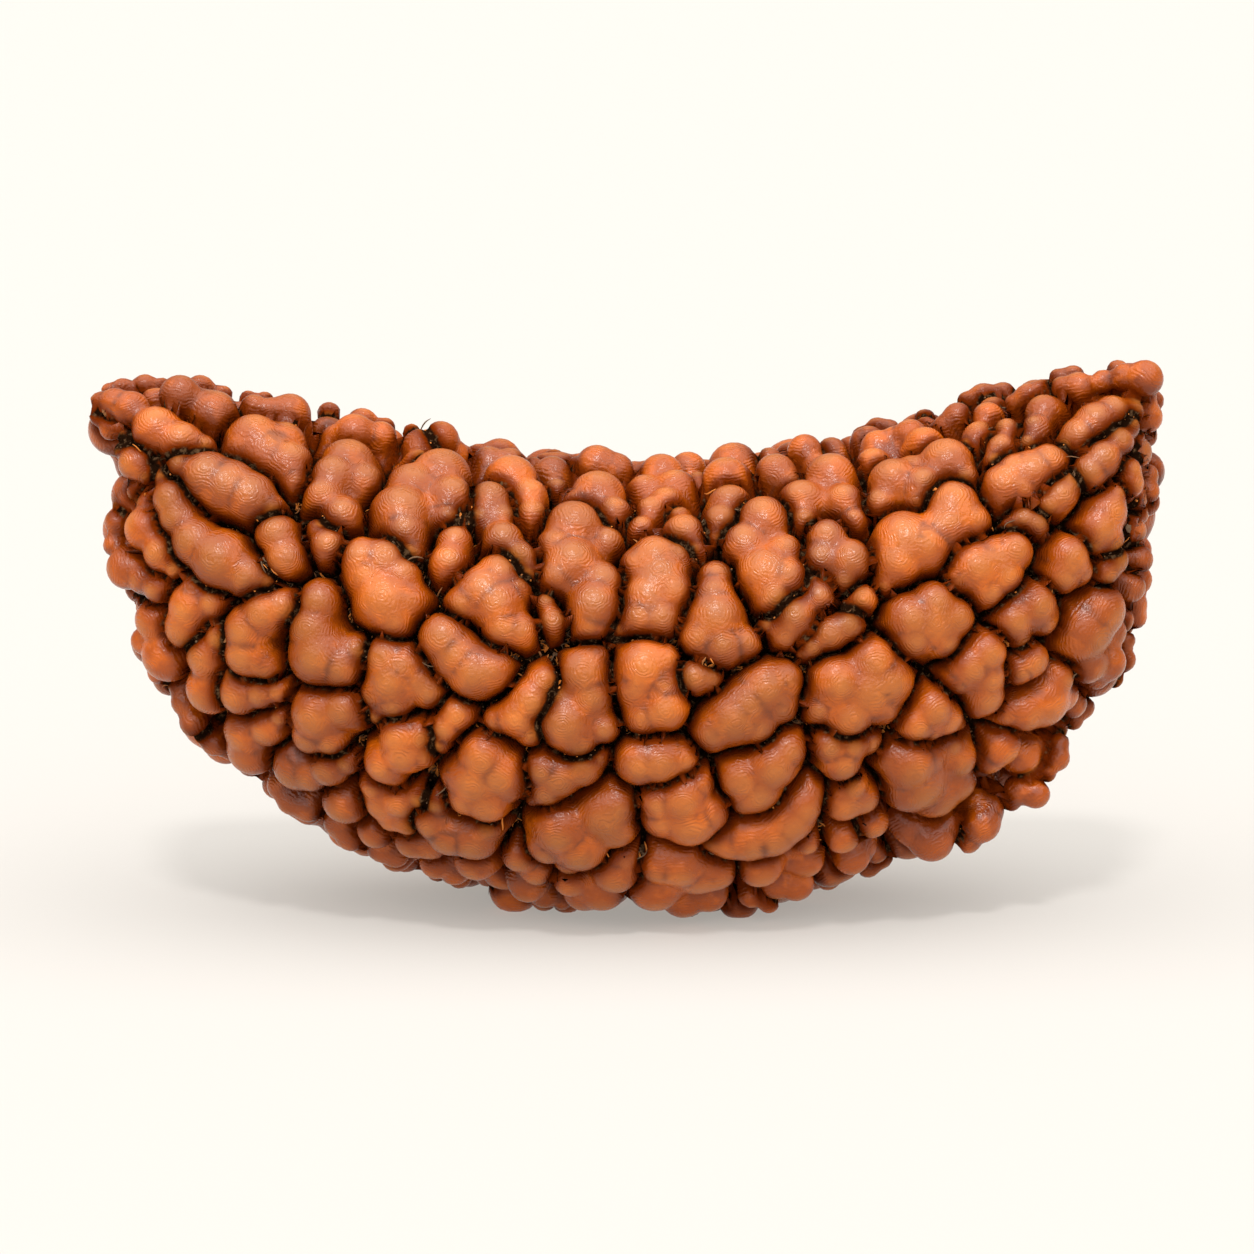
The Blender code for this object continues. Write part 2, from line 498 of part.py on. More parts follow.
def stone_field(points, lobes, touched_by):
    """Distance to the stone's skin and its slope. Between two lobes the nearer one rules, and a dome fills
    up its ground as far as the furrow that parts them."""
    first, second = np.full(len(points), FAR), np.full(len(points), FAR)
    slope, size = np.zeros_like(points), np.full(len(points), FOOT_RADIUS)
    for lobe, touched in zip(lobes, touched_by):
        distance, lobe_slope, lobe_size = lobe_field(points[touched], lobe)
        closer = distance < first[touched]
        won, lost = touched[closer], touched[~closer]
        second[won] = first[won]
        second[lost] = np.minimum(second[lost], distance[~closer])
        first[won], slope[won], size[won] = distance[closer], lobe_slope[closer], lobe_size[closer]
    from_middle = np.maximum(first + size, LEAST_FROM_MIDDLE * size)
    across = from_middle / (from_middle + (second - first) / 2)
    rise = (FURROW_DEPTH + DOME_SHARE * size) * (1 - across**DOME_POWER) ** (1 / DOME_POWER)
    dome = body_distance(points) + FURROW_DEPTH - rise
    distance, parts = smooth_least(np.stack([first, dome], 1), DOME_BLEND)
    distance += FURROW_CUT * np.exp(-(second - first) / FURROW_WIDTH)
    return distance, slope * parts[:, :1] + body_slope(points) * parts[:, 1:]


def body_mesh():
    """The plain body under the lobes, as a closed grid with a pole at each end."""
    points, _ = body_points(*BODY_RINGS)
    rings, sides = BODY_RINGS
    mesh = bmesh.new()
    rows = [[mesh.verts.new(point) for point in ring] for ring in points[1:-1]]
    for row, next_row in zip(rows, rows[1:]):
        for i in range(sides):
            j = (i + 1) % sides
            mesh.faces.new((row[i], next_row[i], next_row[j], row[j]))
    mesh.faces.new(rows[0])
    mesh.faces.new(rows[-1][::-1])
    bmesh.ops.recalc_face_normals(mesh, faces=mesh.faces)
    return mesh


def new_object(name, mesh, collection):
    data = bpy.data.meshes.new(name)
    mesh.to_mesh(data)
    mesh.free()
    item = bpy.data.objects.new(name, data)
    collection.objects.link(item)
    return item


def new_collection(name):
    collection = bpy.data.collections.new(name)
    bpy.context.scene.collection.children.link(collection)
    return collection


def apply_modifiers(item):
    bpy.ops.object.select_all(action="DESELECT")
    item.select_set(True)
    bpy.context.view_layer.objects.active = item
    for modifier in list(item.modifiers):
        bpy.ops.object.modifier_apply(modifier=modifier.name)


def union_with(item, collection):
    """Joins every bulge of the collection to the item in one union, then removes the bulges."""
    union = item.modifiers.new("lobes", "BOOLEAN")
    union.operation = "UNION"
    union.operand_type = "COLLECTION"
    union.collection = collection
    union.solver = "MANIFOLD"
    apply_modifiers(item)
    for bulge in list(collection.objects):
        bpy.data.objects.remove(bulge)
    bpy.data.collections.remove(collection)


def keep_largest_shell(item):
    """Drops the small shells that a remesh leaves round sealed gaps between bulges."""
    mesh = bmesh.new()
    mesh.from_mesh(item.data)
    unseen = set(mesh.verts)
    shells = []
    while unseen:
        shell = [unseen.pop()]
        for vert in shell:
            for edge in vert.link_edges:
                other = edge.other_vert(vert)
                if other in unseen:
                    unseen.remove(other)
                    shell.append(other)
        shells.append(shell)
    shells.sort(key=len)
    for shell in shells[:-1]:
        bmesh.ops.delete(mesh, geom=shell, context="VERTS")
    mesh.to_mesh(item.data)
    mesh.free()


def even_skin(item):
    """An even skin over the item, in one shell."""
    remesh = item.modifiers.new("skin", "REMESH")
    remesh.mode = "VOXEL"
    remesh.voxel_size = REMESH_SIZE
    remesh.use_smooth_shade = True
    apply_modifiers(item)
    keep_largest_shell(item)


def neighbour_means(item, points):
    """The middle of each point's neighbours."""
    edges = np.empty(len(item.data.edges) * 2, np.int32)
    item.data.edges.foreach_get("vertices", edges)
    edges = edges.reshape(-1, 2)
    total = np.zeros((len(points), 3))
    for near, far in (edges.T, edges.T[::-1]):
        for axis in range(3):
            total[:, axis] += np.bincount(near, points[far, axis], len(points))
    return total / np.bincount(edges.ravel(), minlength=len(points))[:, None]


def settle(item, lobes):
    """Moves the skin's points onto the form of the lobes, evening them out between rounds."""
    points = np.empty(len(item.data.vertices) * 3, np.float32)
    item.data.vertices.foreach_get("co", points)
    points = points.reshape(-1, 3).astype(float)
    touched_by = [touched_points(points, lobe) for lobe in lobes]
    for turn in range(SETTLE_ROUNDS):
        if turn:
            points = (points + neighbour_means(item, points)) / 2
        for _ in range(SETTLE_STEPS):
            distance, slope = stone_field(points, lobes, touched_by)
            steepness = np.maximum((slope**2).sum(1), LEAST_STEEPNESS)
            points -= slope * (np.clip(distance, -LONGEST_STEP, LONGEST_STEP) / steepness)[:, None]
    item.data.vertices.foreach_set("co", points.astype(np.float32).ravel())
    item.data.update()


def thin_out(item):
    """Only as many triangles as the lobes need."""
    fewer = item.modifiers.new("fewer", "DECIMATE")
    fewer.ratio = TRIANGLES / sum(len(face.vertices) - 2 for face in item.data.polygons)
    fewer.use_collapse_triangulate = True
    apply_modifiers(item)


def cut_rest_flats(item):
    """Cuts the lowest bulges off level with the ground, which leaves the flats that it rests on."""
    mesh = bmesh.new()
    mesh.from_mesh(item.data)
    geometry = mesh.verts[:] + mesh.edges[:] + mesh.faces[:]
    cut = bmesh.ops.bisect_plane(
        mesh, geom=geometry, dist=MERGE_DISTANCE, plane_co=(0, 0, 0), plane_no=(0, 0, 1), clear_inner=True
    )
    rim = [part for part in cut["geom_cut"] if isinstance(part, bmesh.types.BMEdge)]
    bmesh.ops.contextual_create(mesh, geom=rim)
    bmesh.ops.holes_fill(mesh, edges=[edge for edge in mesh.edges if edge.is_boundary], sides=0)
    bmesh.ops.triangulate(mesh, faces=[face for face in mesh.faces if len(face.verts) > 3])
    bmesh.ops.recalc_face_normals(mesh, faces=mesh.faces)
    mesh.to_mesh(item.data)
    mesh.free()


def seed_material():
    material = bpy.data.materials.new("seed_shell")
    material.use_nodes = True
    shader = material.node_tree.nodes["Principled BSDF"]
    shader.inputs["Base Color"].default_value = SHELL_COLOUR
    shader.inputs["Roughness"].default_value = SHELL_ROUGHNESS
    return material


def main():
    for item in list(bpy.data.objects):
        bpy.data.objects.remove(item)
    draw = np.random.default_rng(SEED)
    lobes = place_seen(FACE_LOBES, 0) + place_seen(EDGE_LOBES, EDGE_STEP) + feet()
    lobes += grow_hidden(lobes, draw)
    bead = new_collection("one_face_rudraksha")
    bulges = new_collection("bulges")
    heads = heads_of(lobes)
    for spot, size in (head for lobe in heads for head in zip(*lobe)):
        ball = bmesh.new()
        bmesh.ops.create_icosphere(ball, subdivisions=2, radius=size)
        bmesh.ops.translate(ball, verts=ball.verts, vec=spot)
        new_object("bulge", ball, bulges)
    stone = new_object("seed_stone", body_mesh(), bead)
    union_with(stone, bulges)
    even_skin(stone)
    settle(stone, heads)
    even_skin(stone)
    thin_out(stone)
    cut_rest_flats(stone)
    stone.data.materials.append(seed_material())
    stone.data.shade_smooth()


main()
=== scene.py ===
import math

import bpy
import numpy as np
from mathutils import Matrix, Vector


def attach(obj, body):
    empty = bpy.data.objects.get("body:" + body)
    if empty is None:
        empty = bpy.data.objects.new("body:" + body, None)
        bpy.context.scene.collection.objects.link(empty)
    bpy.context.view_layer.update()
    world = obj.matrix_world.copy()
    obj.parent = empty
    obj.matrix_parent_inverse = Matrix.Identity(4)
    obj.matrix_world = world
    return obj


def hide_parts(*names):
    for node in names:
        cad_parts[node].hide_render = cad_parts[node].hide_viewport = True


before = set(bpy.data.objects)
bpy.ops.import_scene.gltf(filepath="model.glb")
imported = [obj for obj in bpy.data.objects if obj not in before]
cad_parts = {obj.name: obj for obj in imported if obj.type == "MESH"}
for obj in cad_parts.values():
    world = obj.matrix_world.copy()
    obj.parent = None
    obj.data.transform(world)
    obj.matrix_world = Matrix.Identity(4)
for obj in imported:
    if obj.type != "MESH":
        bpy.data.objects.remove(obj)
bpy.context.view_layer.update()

# A half-moon rudraksha seed stone. Metres, +X along its length, -Y towards the camera, +Z up.
# The camera stands where the photograph's did, so a pixel of it is a line of sight here.
picture = {
    "middle": 627,  # centre column and row, in pixels
    "stonePixels": 1072,  # length of the stone in the photograph
    "stoneLength": 0.030,
    "eyeDistance": 0.12,
    "eyeRise": math.radians(10),  # above level
    "aim": (-0.00003, 0.0, 0.0080),  # the point on the stone at the photograph's centre
}

# The plain body under the lobes
body = {
    "halfThickness": 0.0054,
    "middle": 0.00003,
    "halfLength": 0.01495,
    "level": 0.01161,  # where the round lower edge starts at each end
    "drop": 0.01188,  # how far the belly falls from there
    "bellyPower": 1.9,
    "hollowMiddle": 0.0004,
    "hollowLevel": 0.01269,
    "leftRise": 0.00256,
    "rightRise": 0.00333,
    "hornCurve": 1.5,
    "inset": 0.00068,
    "endRounding": 36,
    "taper": 2.2,
    "hornThinness": 0.36,
    "dentDepth": 0.0010,  # under the left horn
    "dentLevel": 0.0117,
    "dentHeight": 0.0010,
    "dentStart": 0.010,
    "poles": 0.9999,  # how near its very ends its points come
    "thinnest": 1e-5,  # half height and half thickness where distances are worked out
    "leastShare": 1e-6,
    "slopeStep": 1e-6,
    "nothing": 1e-12,  # keeps a direction without length from failing
}
coreLength = body["halfLength"] - body["inset"]  # half of it, without the lobes

# The lobes and how they stand on the body
growth = {
    "lift": 0.00026,
    "leastFacing": 0.25,  # a bulge seen askew comes this much further forward along the line of sight
    "swell": 1.10,
    "edgeStep": 0.0006,  # how far behind the edge of view the peeping lobes stand
    "groundBite": 0.00012,
    "seed": 11,
    "seenSlope": 0.12,
    "rounds": (  # fewest bulges of a lobe, and their least and greatest radius
        (3, 0.00054, 0.00076), (2, 0.00042, 0.00058), (1, 0.00034, 0.00046),
    ),
    "clearance": 0.92,
    "rimSlope": 0.6,
    "peepPixels": 5,
    "step": 0.62,
    "wander": 0.0001,
    "chain": (2, 5),  # steps, fewer than the second
    "lean": 0.5,
    "stray": 0.3,
    "shoulders": 0.6,
    "feet": ((-0.0032, -0.0004), (0.0031, -0.0012), (0.0006, 0.0017)),
    "footRadius": 0.00055,
    "searchSteps": (220, 160),
}

# Lobes of the side in view, each a row of bulges: column, row and radius in pixels of the photograph
faceLobes = (
    # left horn and left side
    ((103, 404, 11), (118, 404, 14), (135, 411, 17), (158, 430, 20), (182, 443, 18), (203, 450, 13)),
    ((101, 417, 10), (113, 430, 11), (128, 441, 11)),
    ((126, 449, 11), (135, 464, 14), (148, 474, 10)),
    ((139, 492, 9),),
    ((184, 396, 18), (205, 405, 14), (218, 416, 22), (240, 424, 13)),
    ((256, 410, 14), (275, 414, 14), (293, 416, 20), (302, 430, 13)),
    ((256, 440, 22), (243, 450, 13), (270, 452, 16), (286, 442, 18), (290, 464, 19), (295, 481, 12)),
    ((183, 467, 14), (208, 477, 21), (230, 487, 20), (251, 498, 21), (270, 511, 14)),
    ((158, 462, 7), (165, 478, 10), (174, 500, 17), (180, 518, 17), (196, 542, 20), (222, 560, 24),
     (248, 576, 18), (267, 581, 12)),
    ((150, 503, 11), (146, 528, 17), (163, 553, 16), (177, 567, 11)),
    ((121, 522, 13), (118, 545, 12), (128, 569, 16), (143, 578, 12), (159, 588, 13)),
    ((277, 534, 17), (286, 559, 17)),
    ((321, 530, 11), (329, 546, 15)),
    ((197, 590, 13), (192, 607, 18), (213, 602, 14), (187, 628, 18)),
    ((155, 622, 15), (147, 641, 13), (168, 657, 19), (162, 672, 12)),
    ((222, 637, 14), (208, 655, 18), (209, 672, 13), (211, 690, 20)),
    ((182, 684, 12), (187, 702, 13), (198, 722, 15)),
    ((237, 674, 11), (241, 693, 18), (262, 692, 14), (279, 690, 11)),
    ((284, 607, 16), (266, 613, 19), (249, 630, 20), (249, 653, 20), (266, 664, 14)),
    ((320, 601, 17), (313, 628, 19), (319, 656, 20), (341, 666, 18), (357, 650, 13)),
    ((247, 733, 16), (268, 728, 14), (252, 752, 17), (281, 716, 9)),
    ((205, 731, 12), (217, 742, 13), (231, 750, 9)),
    # top left and middle
    ((338, 440, 14), (357, 435, 19), (383, 438, 15), (393, 452, 11)),
    ((350, 461, 18), (334, 477, 18), (363, 480, 13), (323, 496, 14), (343, 516, 17)),
    ((424, 450, 20), (419, 464, 13)),
    ((442, 441, 18), (457, 455, 13), (413, 434, 10)),
    ((442, 476, 24), (451, 498, 19), (448, 518, 13), (414, 487, 19), (402, 510, 18), (405, 533, 18),
     (411, 554, 13)),
    ((464, 521, 10), (455, 541, 14), (449, 563, 15)),
    ((512, 480, 22), (529, 497, 16), (532, 516, 14)),
    ((490, 502, 18), (480, 520, 12), (502, 518, 13), (503, 540, 16), (519, 560, 16), (526, 576, 11)),
    ((499, 575, 18), (483, 591, 20), (465, 604, 16), (497, 605, 21), (516, 590, 14), (503, 628, 17),
     (520, 631, 15)),
    ((553, 477, 19), (556, 492, 12), (534, 467, 10)),
    ((597, 467, 20), (616, 472, 17), (577, 468, 11)),
    ((598, 495, 21), (578, 504, 13), (613, 515, 16)),
    ((574, 528, 23), (557, 546, 15), (572, 563, 19), (558, 577, 16), (606, 543, 14), (601, 583, 17),
     (594, 606, 21), (591, 626, 16)),
    ((546, 602, 9), (553, 622, 12)),
    ((362, 558, 17), (385, 560, 18), (403, 575, 15), (370, 577, 15), (385, 600, 20), (405, 602, 14),
     (395, 620, 16)),
    ((655, 558, 19), (640, 566, 15), (674, 560, 16), (660, 578, 18), (648, 597, 19), (672, 592, 17),
     (640, 617, 16), (660, 618, 16), (622, 630, 10), (608, 639, 6)),
    ((716, 578, 13), (714, 596, 17), (716, 618, 22), (700, 637, 17), (722, 645, 19), (743, 643, 15)),
    # top right
    ((661, 477, 21), (645, 489, 12), (675, 487, 14), (666, 503, 14), (651, 513, 14), (641, 529, 12)),
    ((684, 535, 18), (694, 552, 12), (679, 517, 10)),
    ((725, 480, 20), (744, 483, 12)),
    ((729, 504, 17), (721, 523, 16), (718, 540, 11)),
    ((774, 474, 18), (788, 484, 11)),
    ((803, 452, 16), (815, 464, 9)),
    ((829, 476, 19), (843, 502, 16), (853, 519, 10), (801, 502, 19), (804, 521, 13)),
    ((763, 521, 21), (744, 545, 19), (783, 553, 16), (763, 573, 20), (785, 577, 18), (773, 598, 18)),
    ((794, 617, 18), (785, 635, 13), (768, 625, 10), (818, 597, 14), (811, 583, 11)),
    ((826, 538, 16), (821, 559, 16), (850, 560, 17), (844, 580, 13)),
    ((862, 599, 13), (849, 612, 11)),
    ((847, 625, 15), (829, 634, 15), (812, 647, 11), (801, 654, 7)),
    ((903, 540, 22), (887, 553, 14), (922, 545, 18), (897, 561, 18), (884, 585, 9), (937, 532, 17),
     (952, 506, 21), (948, 524, 18), (970, 520, 14)),
    ((892, 481, 19), (879, 503, 13), (911, 472, 12), (922, 487, 17), (916, 502, 11), (945, 463, 21),
     (963, 479, 13)),
    ((875, 447, 15), (872, 463, 13), (892, 441, 13), (908, 437, 16), (922, 443, 13)),
    ((955, 418, 14), (943, 429, 13), (932, 433, 9)),
    ((985, 420, 16), (978, 437, 14), (968, 448, 10)),
    ((1006, 433, 13), (1000, 449, 13), (994, 463, 10)),
    ((1040, 412, 15), (1034, 430, 13), (1028, 446, 11), (1052, 409, 11)),
    ((1002, 485, 17), (1014, 474, 17), (1031, 472, 18), (1047, 463, 16), (1058, 459, 11),
     (1020, 489, 14), (994, 498, 10)),
    ((1012, 405, 10), (1025, 397, 12), (1040, 391, 11)),
    ((1058, 391, 13), (1075, 389, 15), (1100, 383, 12), (1122, 379, 14), (1141, 380, 17)),
    ((1129, 411, 12), (1111, 413, 15), (1094, 423, 17), (1078, 436, 15), (1065, 448, 11)),
    ((1127, 425, 11), (1116, 442, 14), (1101, 459, 16), (1088, 473, 15)),
    ((1069, 485, 12), (1059, 496, 14), (1048, 506, 12)),
    ((1022, 519, 11), (1036, 524, 11), (1009, 528, 8)),
    # right side
    ((1114, 495, 10), (1108, 512, 13), (1098, 528, 15), (1109, 542, 13), (1091, 543, 11)),
    ((1068, 557, 17), (1061, 575, 15), (1078, 571, 12)),
    ((1113, 560, 13), (1104, 573, 12)),
    ((1128, 470, 11), (1131, 484, 11)),
    ((1098, 612, 22), (1084, 632, 22), (1106, 632, 16), (1103, 662, 18), (1084, 662, 19),
     (1094, 677, 12)),
    ((1012, 620, 16), (1035, 604, 17), (1019, 600, 12), (1017, 635, 12), (1042, 618, 11)),
    ((1012, 551, 16), (992, 558, 15), (975, 567, 17), (959, 578, 12), (1003, 575, 16), (987, 590, 14)),
    ((933, 603, 17), (909, 618, 16), (932, 622, 15), (912, 638, 15), (953, 618, 14), (943, 641, 14)),
    ((985, 652, 17), (968, 666, 17), (986, 676, 16), (957, 679, 12), (984, 696, 14), (974, 708, 9)),
    ((1030, 660, 15), (1017, 668, 14)),
    ((1058, 677, 14), (1060, 695, 14), (1044, 703, 17), (1024, 710, 18), (1007, 712, 11)),
    # lower right
    ((1000, 745, 17), (1018, 754, 18), (1031, 747, 13), (989, 757, 13)),
    ((1056, 742, 11), (1055, 758, 12), (1044, 773, 10)),
    ((1018, 789, 13), (1033, 793, 14), (1009, 801, 10)),
    ((908, 764, 21), (927, 757, 15), (915, 783, 21), (935, 794, 18), (954, 782, 16), (958, 760, 13),
     (950, 745, 10), (892, 758, 12)),
    ((932, 708, 16), (946, 718, 13), (915, 724, 14), (929, 729, 11), (957, 722, 8)),
    ((912, 825, 19), (930, 838, 20), (943, 824, 16)),
    ((973, 800, 14), (988, 808, 14), (979, 823, 17), (966, 839, 13)),
    ((852, 784, 13), (844, 802, 14), (862, 798, 12)),
    ((871, 822, 13),),
    ((842, 836, 15), (850, 856, 16), (862, 847, 11)),
    ((828, 745, 14), (850, 745, 14), (841, 762, 16), (868, 742, 9)),
    ((836, 682, 21), (872, 662, 19), (886, 681, 19), (868, 690, 18), (848, 714, 19), (881, 705, 13),
     (820, 706, 11)),
    ((783, 680, 15), (765, 688, 18), (748, 703, 17), (733, 718, 19), (713, 731, 14), (777, 702, 13),
     (756, 724, 14)),
    ((740, 777, 16), (772, 765, 18), (787, 750, 13), (757, 790, 14), (744, 799, 11)),
    ((714, 841, 8), (730, 842, 12), (750, 839, 16), (772, 834, 16), (790, 821, 14), (803, 807, 12),
     (812, 794, 8)),
    ((760, 868, 15), (775, 880, 17), (795, 882, 16), (806, 862, 12), (807, 843, 9)),
    ((750, 893, 13), (768, 901, 11)),
    # centre and lower left
    ((444, 638, 20), (457, 655, 18), (475, 672, 20), (492, 670, 18), (481, 656, 13)),
    ((532, 700, 18), (545, 682, 15), (518, 716, 17), (498, 720, 12), (531, 731, 13)),
    ((583, 672, 20), (592, 658, 14), (561, 696, 14), (590, 695, 16), (565, 722, 22), (578, 740, 16),
     (603, 728, 12)),
    ((643, 667, 21), (636, 685, 16), (662, 662, 16), (662, 685, 17), (665, 708, 19), (645, 715, 14),
     (620, 645, 7)),
    ((693, 677, 15), (709, 678, 12)),
    ((640, 762, 17), (660, 760, 19), (681, 758, 14)),
    ((543, 768, 15), (560, 776, 16), (548, 789, 14), (534, 796, 9), (582, 768, 15), (598, 757, 10)),
    ((683, 797, 19), (698, 783, 14), (658, 800, 15), (690, 820, 20), (708, 812, 15), (664, 816, 14)),
    ((680, 865, 16), (660, 865, 15), (655, 888, 18), (683, 894, 20), (708, 891, 18), (716, 872, 14),
     (698, 873, 15)),
    ((560, 828, 21), (548, 845, 15), (580, 845, 21), (570, 860, 12), (605, 815, 16), (617, 805, 14),
     (614, 828, 15)),
    ((571, 880, 14), (584, 892, 15), (602, 890, 16), (615, 872, 17), (622, 857, 12)),
    ((520, 856, 13), (537, 870, 13), (528, 885, 14), (545, 893, 13), (562, 900, 9)),
    ((437, 863, 13), (455, 870, 13), (475, 863, 13)),
    ((484, 755, 20), (501, 772, 21), (476, 778, 18), (467, 796, 16), (488, 801, 18), (459, 776, 11),
     (512, 786, 13)),
    ((438, 800, 13), (433, 820, 16), (450, 833, 18), (413, 840, 15), (474, 838, 16), (488, 825, 13),
     (430, 845, 11)),
    ((402, 800, 15), (421, 795, 12), (408, 820, 13), (383, 803, 13), (374, 787, 9), (392, 818, 11)),
    ((345, 803, 16), (343, 820, 16), (353, 835, 14)),
    ((376, 832, 13), (384, 845, 15), (397, 853, 13)),
    ((282, 786, 12), (293, 800, 13), (310, 806, 14)),
    ((330, 767, 16), (312, 773, 14), (295, 770, 14), (290, 755, 9), (348, 760, 12)),
    ((318, 714, 18), (344, 708, 17), (358, 716, 12), (312, 735, 16), (332, 738, 15)),
    ((386, 657, 17), (403, 665, 16), (392, 680, 18), (376, 693, 13), (395, 702, 15), (378, 714, 10),
     (417, 680, 12), (428, 691, 11)),
    ((400, 735, 17), (420, 735, 14), (405, 752, 17), (385, 763, 15), (395, 773, 11), (423, 752, 13)),
    ((458, 714, 12), (446, 727, 13), (440, 742, 11)),
)

# Lobes that only peep over the edge, from just behind it
edgeLobes = (
    ((108, 390, 7), (122, 387, 9), (145, 387, 13), (163, 386, 9)),
    ((200, 390, 15), (222, 397, 12)),
    ((248, 400, 10), (265, 401, 10)),
    ((146, 608, 8),),
    ((329, 414, 11),),
    ((362, 424, 16), (385, 428, 11)),
    ((478, 458, 14), (500, 458, 19), (518, 463, 10)),
    ((554, 461, 11),),
    ((688, 470, 18), (699, 484, 12)),
    ((637, 482, 8),),
    ((732, 462, 14), (760, 464, 12)),
    ((830, 449, 12), (840, 458, 9)),
    ((862, 437, 11), (877, 429, 12), (890, 429, 10)),
    ((925, 421, 11),),
    ((967, 402, 11), (983, 397, 14), (1003, 396, 14)),
    ((1058, 378, 10), (1073, 376, 11)),
    ((1118, 370, 9),),
    ((1155, 400, 9), (1151, 418, 10), (1147, 436, 10), (1138, 452, 12)),
    ((1148, 475, 11), (1149, 492, 11), (1138, 500, 9)),
    ((1139, 514, 10), (1133, 531, 13)),
    ((1137, 560, 11), (1138, 580, 14), (1121, 586, 10), (1132, 604, 15), (1136, 618, 11)),
    ((1126, 640, 10), (1124, 660, 12), (1113, 678, 11)),
    ((1083, 707, 12), (1073, 721, 10)),
    ((880, 855, 14), (868, 866, 12)),
    ((828, 878, 12), (842, 872, 9)),
    ((488, 877, 10), (503, 876, 11)),
)


def halfSizes(along):
    # middle height, half height and half thickness of the plain body at each place along it
    share = np.clip(np.abs(along - body["middle"]) / coreLength, 0, 1)
    belly = (1 - share ** body["bellyPower"]) ** (1 / body["bellyPower"])
    lower = body["level"] - (body["drop"] - body["inset"]) * belly
    rise = np.where(along < body["hollowMiddle"], body["leftRise"], body["rightRise"])
    reach = np.clip(np.abs(along - body["hollowMiddle"]) / body["halfLength"], 0, 1)
    upper = body["hollowLevel"] + rise * reach ** body["hornCurve"] - body["inset"]
    ends = np.sqrt(1 - share ** body["endRounding"])
    thick = body["halfThickness"] * (1 - (1 - body["hornThinness"]) * share ** body["taper"]) * ends
    return (upper + lower) / 2, (upper - lower) / 2 * ends, thick


def dentAt(points):
    # how far the outline draws in under the left horn
    level = np.exp(-((points[..., 2] - body["dentLevel"]) / body["dentHeight"]) ** 2)
    near = np.clip((-points[..., 0] - body["dentStart"]) / (body["halfLength"] - body["dentStart"]), 0, 1)
    return body["dentDepth"] * level * near


def bodyPoints(stepsAlong, stepsAround):
    # points of the plain body and their outward normals
    turn = np.linspace(0, math.pi, stepsAlong)
    along = body["middle"] - coreLength * np.cos(turn) * body["poles"]
    middle, height, thick = halfSizes(along)
    around = np.linspace(0, 2 * math.pi, stepsAround, endpoint=False)
    x = np.repeat(along[:, None], stepsAround, 1)
    y = thick[:, None] * np.cos(around)
    z = middle[:, None] + height[:, None] * np.sin(around)
    points = np.stack([x, y, z], -1)
    points[..., 0] += dentAt(points)
    lengthwise = np.gradient(points, axis=0)
    sideways = np.roll(points, -1, 1) - np.roll(points, 1, 1)
    normals = np.cross(sideways, lengthwise)
    normals /= np.linalg.norm(normals, axis=-1, keepdims=True) + body["nothing"]
    return points.reshape(-1, 3), normals.reshape(-1, 3)


def eyeAxes():
    # the eye's place and its right, up and forward directions
    rise = picture["eyeRise"]
    forward = np.array([0.0, math.cos(rise), -math.sin(rise)])
    up = np.array([0.0, math.sin(rise), math.cos(rise)])
    eye = np.array(picture["aim"]) - picture["eyeDistance"] * forward
    return eye, np.array([1.0, 0.0, 0.0]), up, forward


def metresPerPixel(depth):
    return depth / picture["eyeDistance"] * picture["stoneLength"] / picture["stonePixels"]


def pixelsOf(points):
    eye, right, up, forward = eyeAxes()
    offset = points - eye
    depth = offset @ forward
    scale = 1 / metresPerPixel(depth)
    return picture["middle"] + offset @ right * scale, picture["middle"] - offset @ up * scale, depth


def spotAt(column, row, depth):
    # the point seen at that pixel, at that distance before the eye
    eye, right, up, forward = eyeAxes()
    scale = metresPerPixel(depth)
    aside = (column - picture["middle"]) * scale * right + (picture["middle"] - row) * scale * up
    return eye + depth * forward + aside


def placeSeen(lobes, behind, searched):
    # bulges of the lobes in view, as (centre, radius, outward direction)
    eye, _, _, forward = eyeAxes()
    points, normals = searched
    facing = ((points - eye) * normals).sum(1) < 0
    points, normals = points[facing], normals[facing]
    columns, rows, depths = pixelsOf(points)
    placed = []
    for lobe in lobes:
        bulges = []
        for column, row, radius in lobe:
            nearest = np.argmin((columns - column) ** 2 + (rows - row) ** 2)
            depth = depths[nearest] + behind
            size = radius * metresPerPixel(depth) * growth["swell"]
            outward = normals[nearest]
            lift = 0
            if behind == 0:
                lift = min(growth["lift"], size / 2) / max(growth["leastFacing"], -outward @ forward)
            bulges.append((spotAt(column, row, depth) - lift * forward, size, outward))
        placed.append(bulges)
    return placed


def isCrowded(spot, size, spots, sizes):
    away = np.linalg.norm(spots - spot, axis=1)
    return bool((away < growth["clearance"] * (sizes + size)).any())


def isPeeping(spot, outward, size):
    # whether a bulge at the edge of view would stand out past the lobes that the photograph shows
    _, right, up, forward = eyeAxes()
    if outward @ forward > growth["rimSlope"]:
        return False
    column, row, depth = pixelsOf(spot)
    aside = np.array([outward @ right, -outward @ up])
    tip = np.array([column, row]) + aside / np.linalg.norm(aside) * size / metresPerPixel(depth)
    past = np.hypot(*(seenCircles[:, :2] - tip).T) - seenCircles[:, 2] * growth["swell"]
    return past.min() > growth["peepPixels"]


def isTaken(index, size, searched, facing, taken):
    points, normals = searched
    if facing[index] or isCrowded(points[index], size, *taken):
        return True
    return isPeeping(points[index] + normals[index] * growth["lift"], normals[index], size)


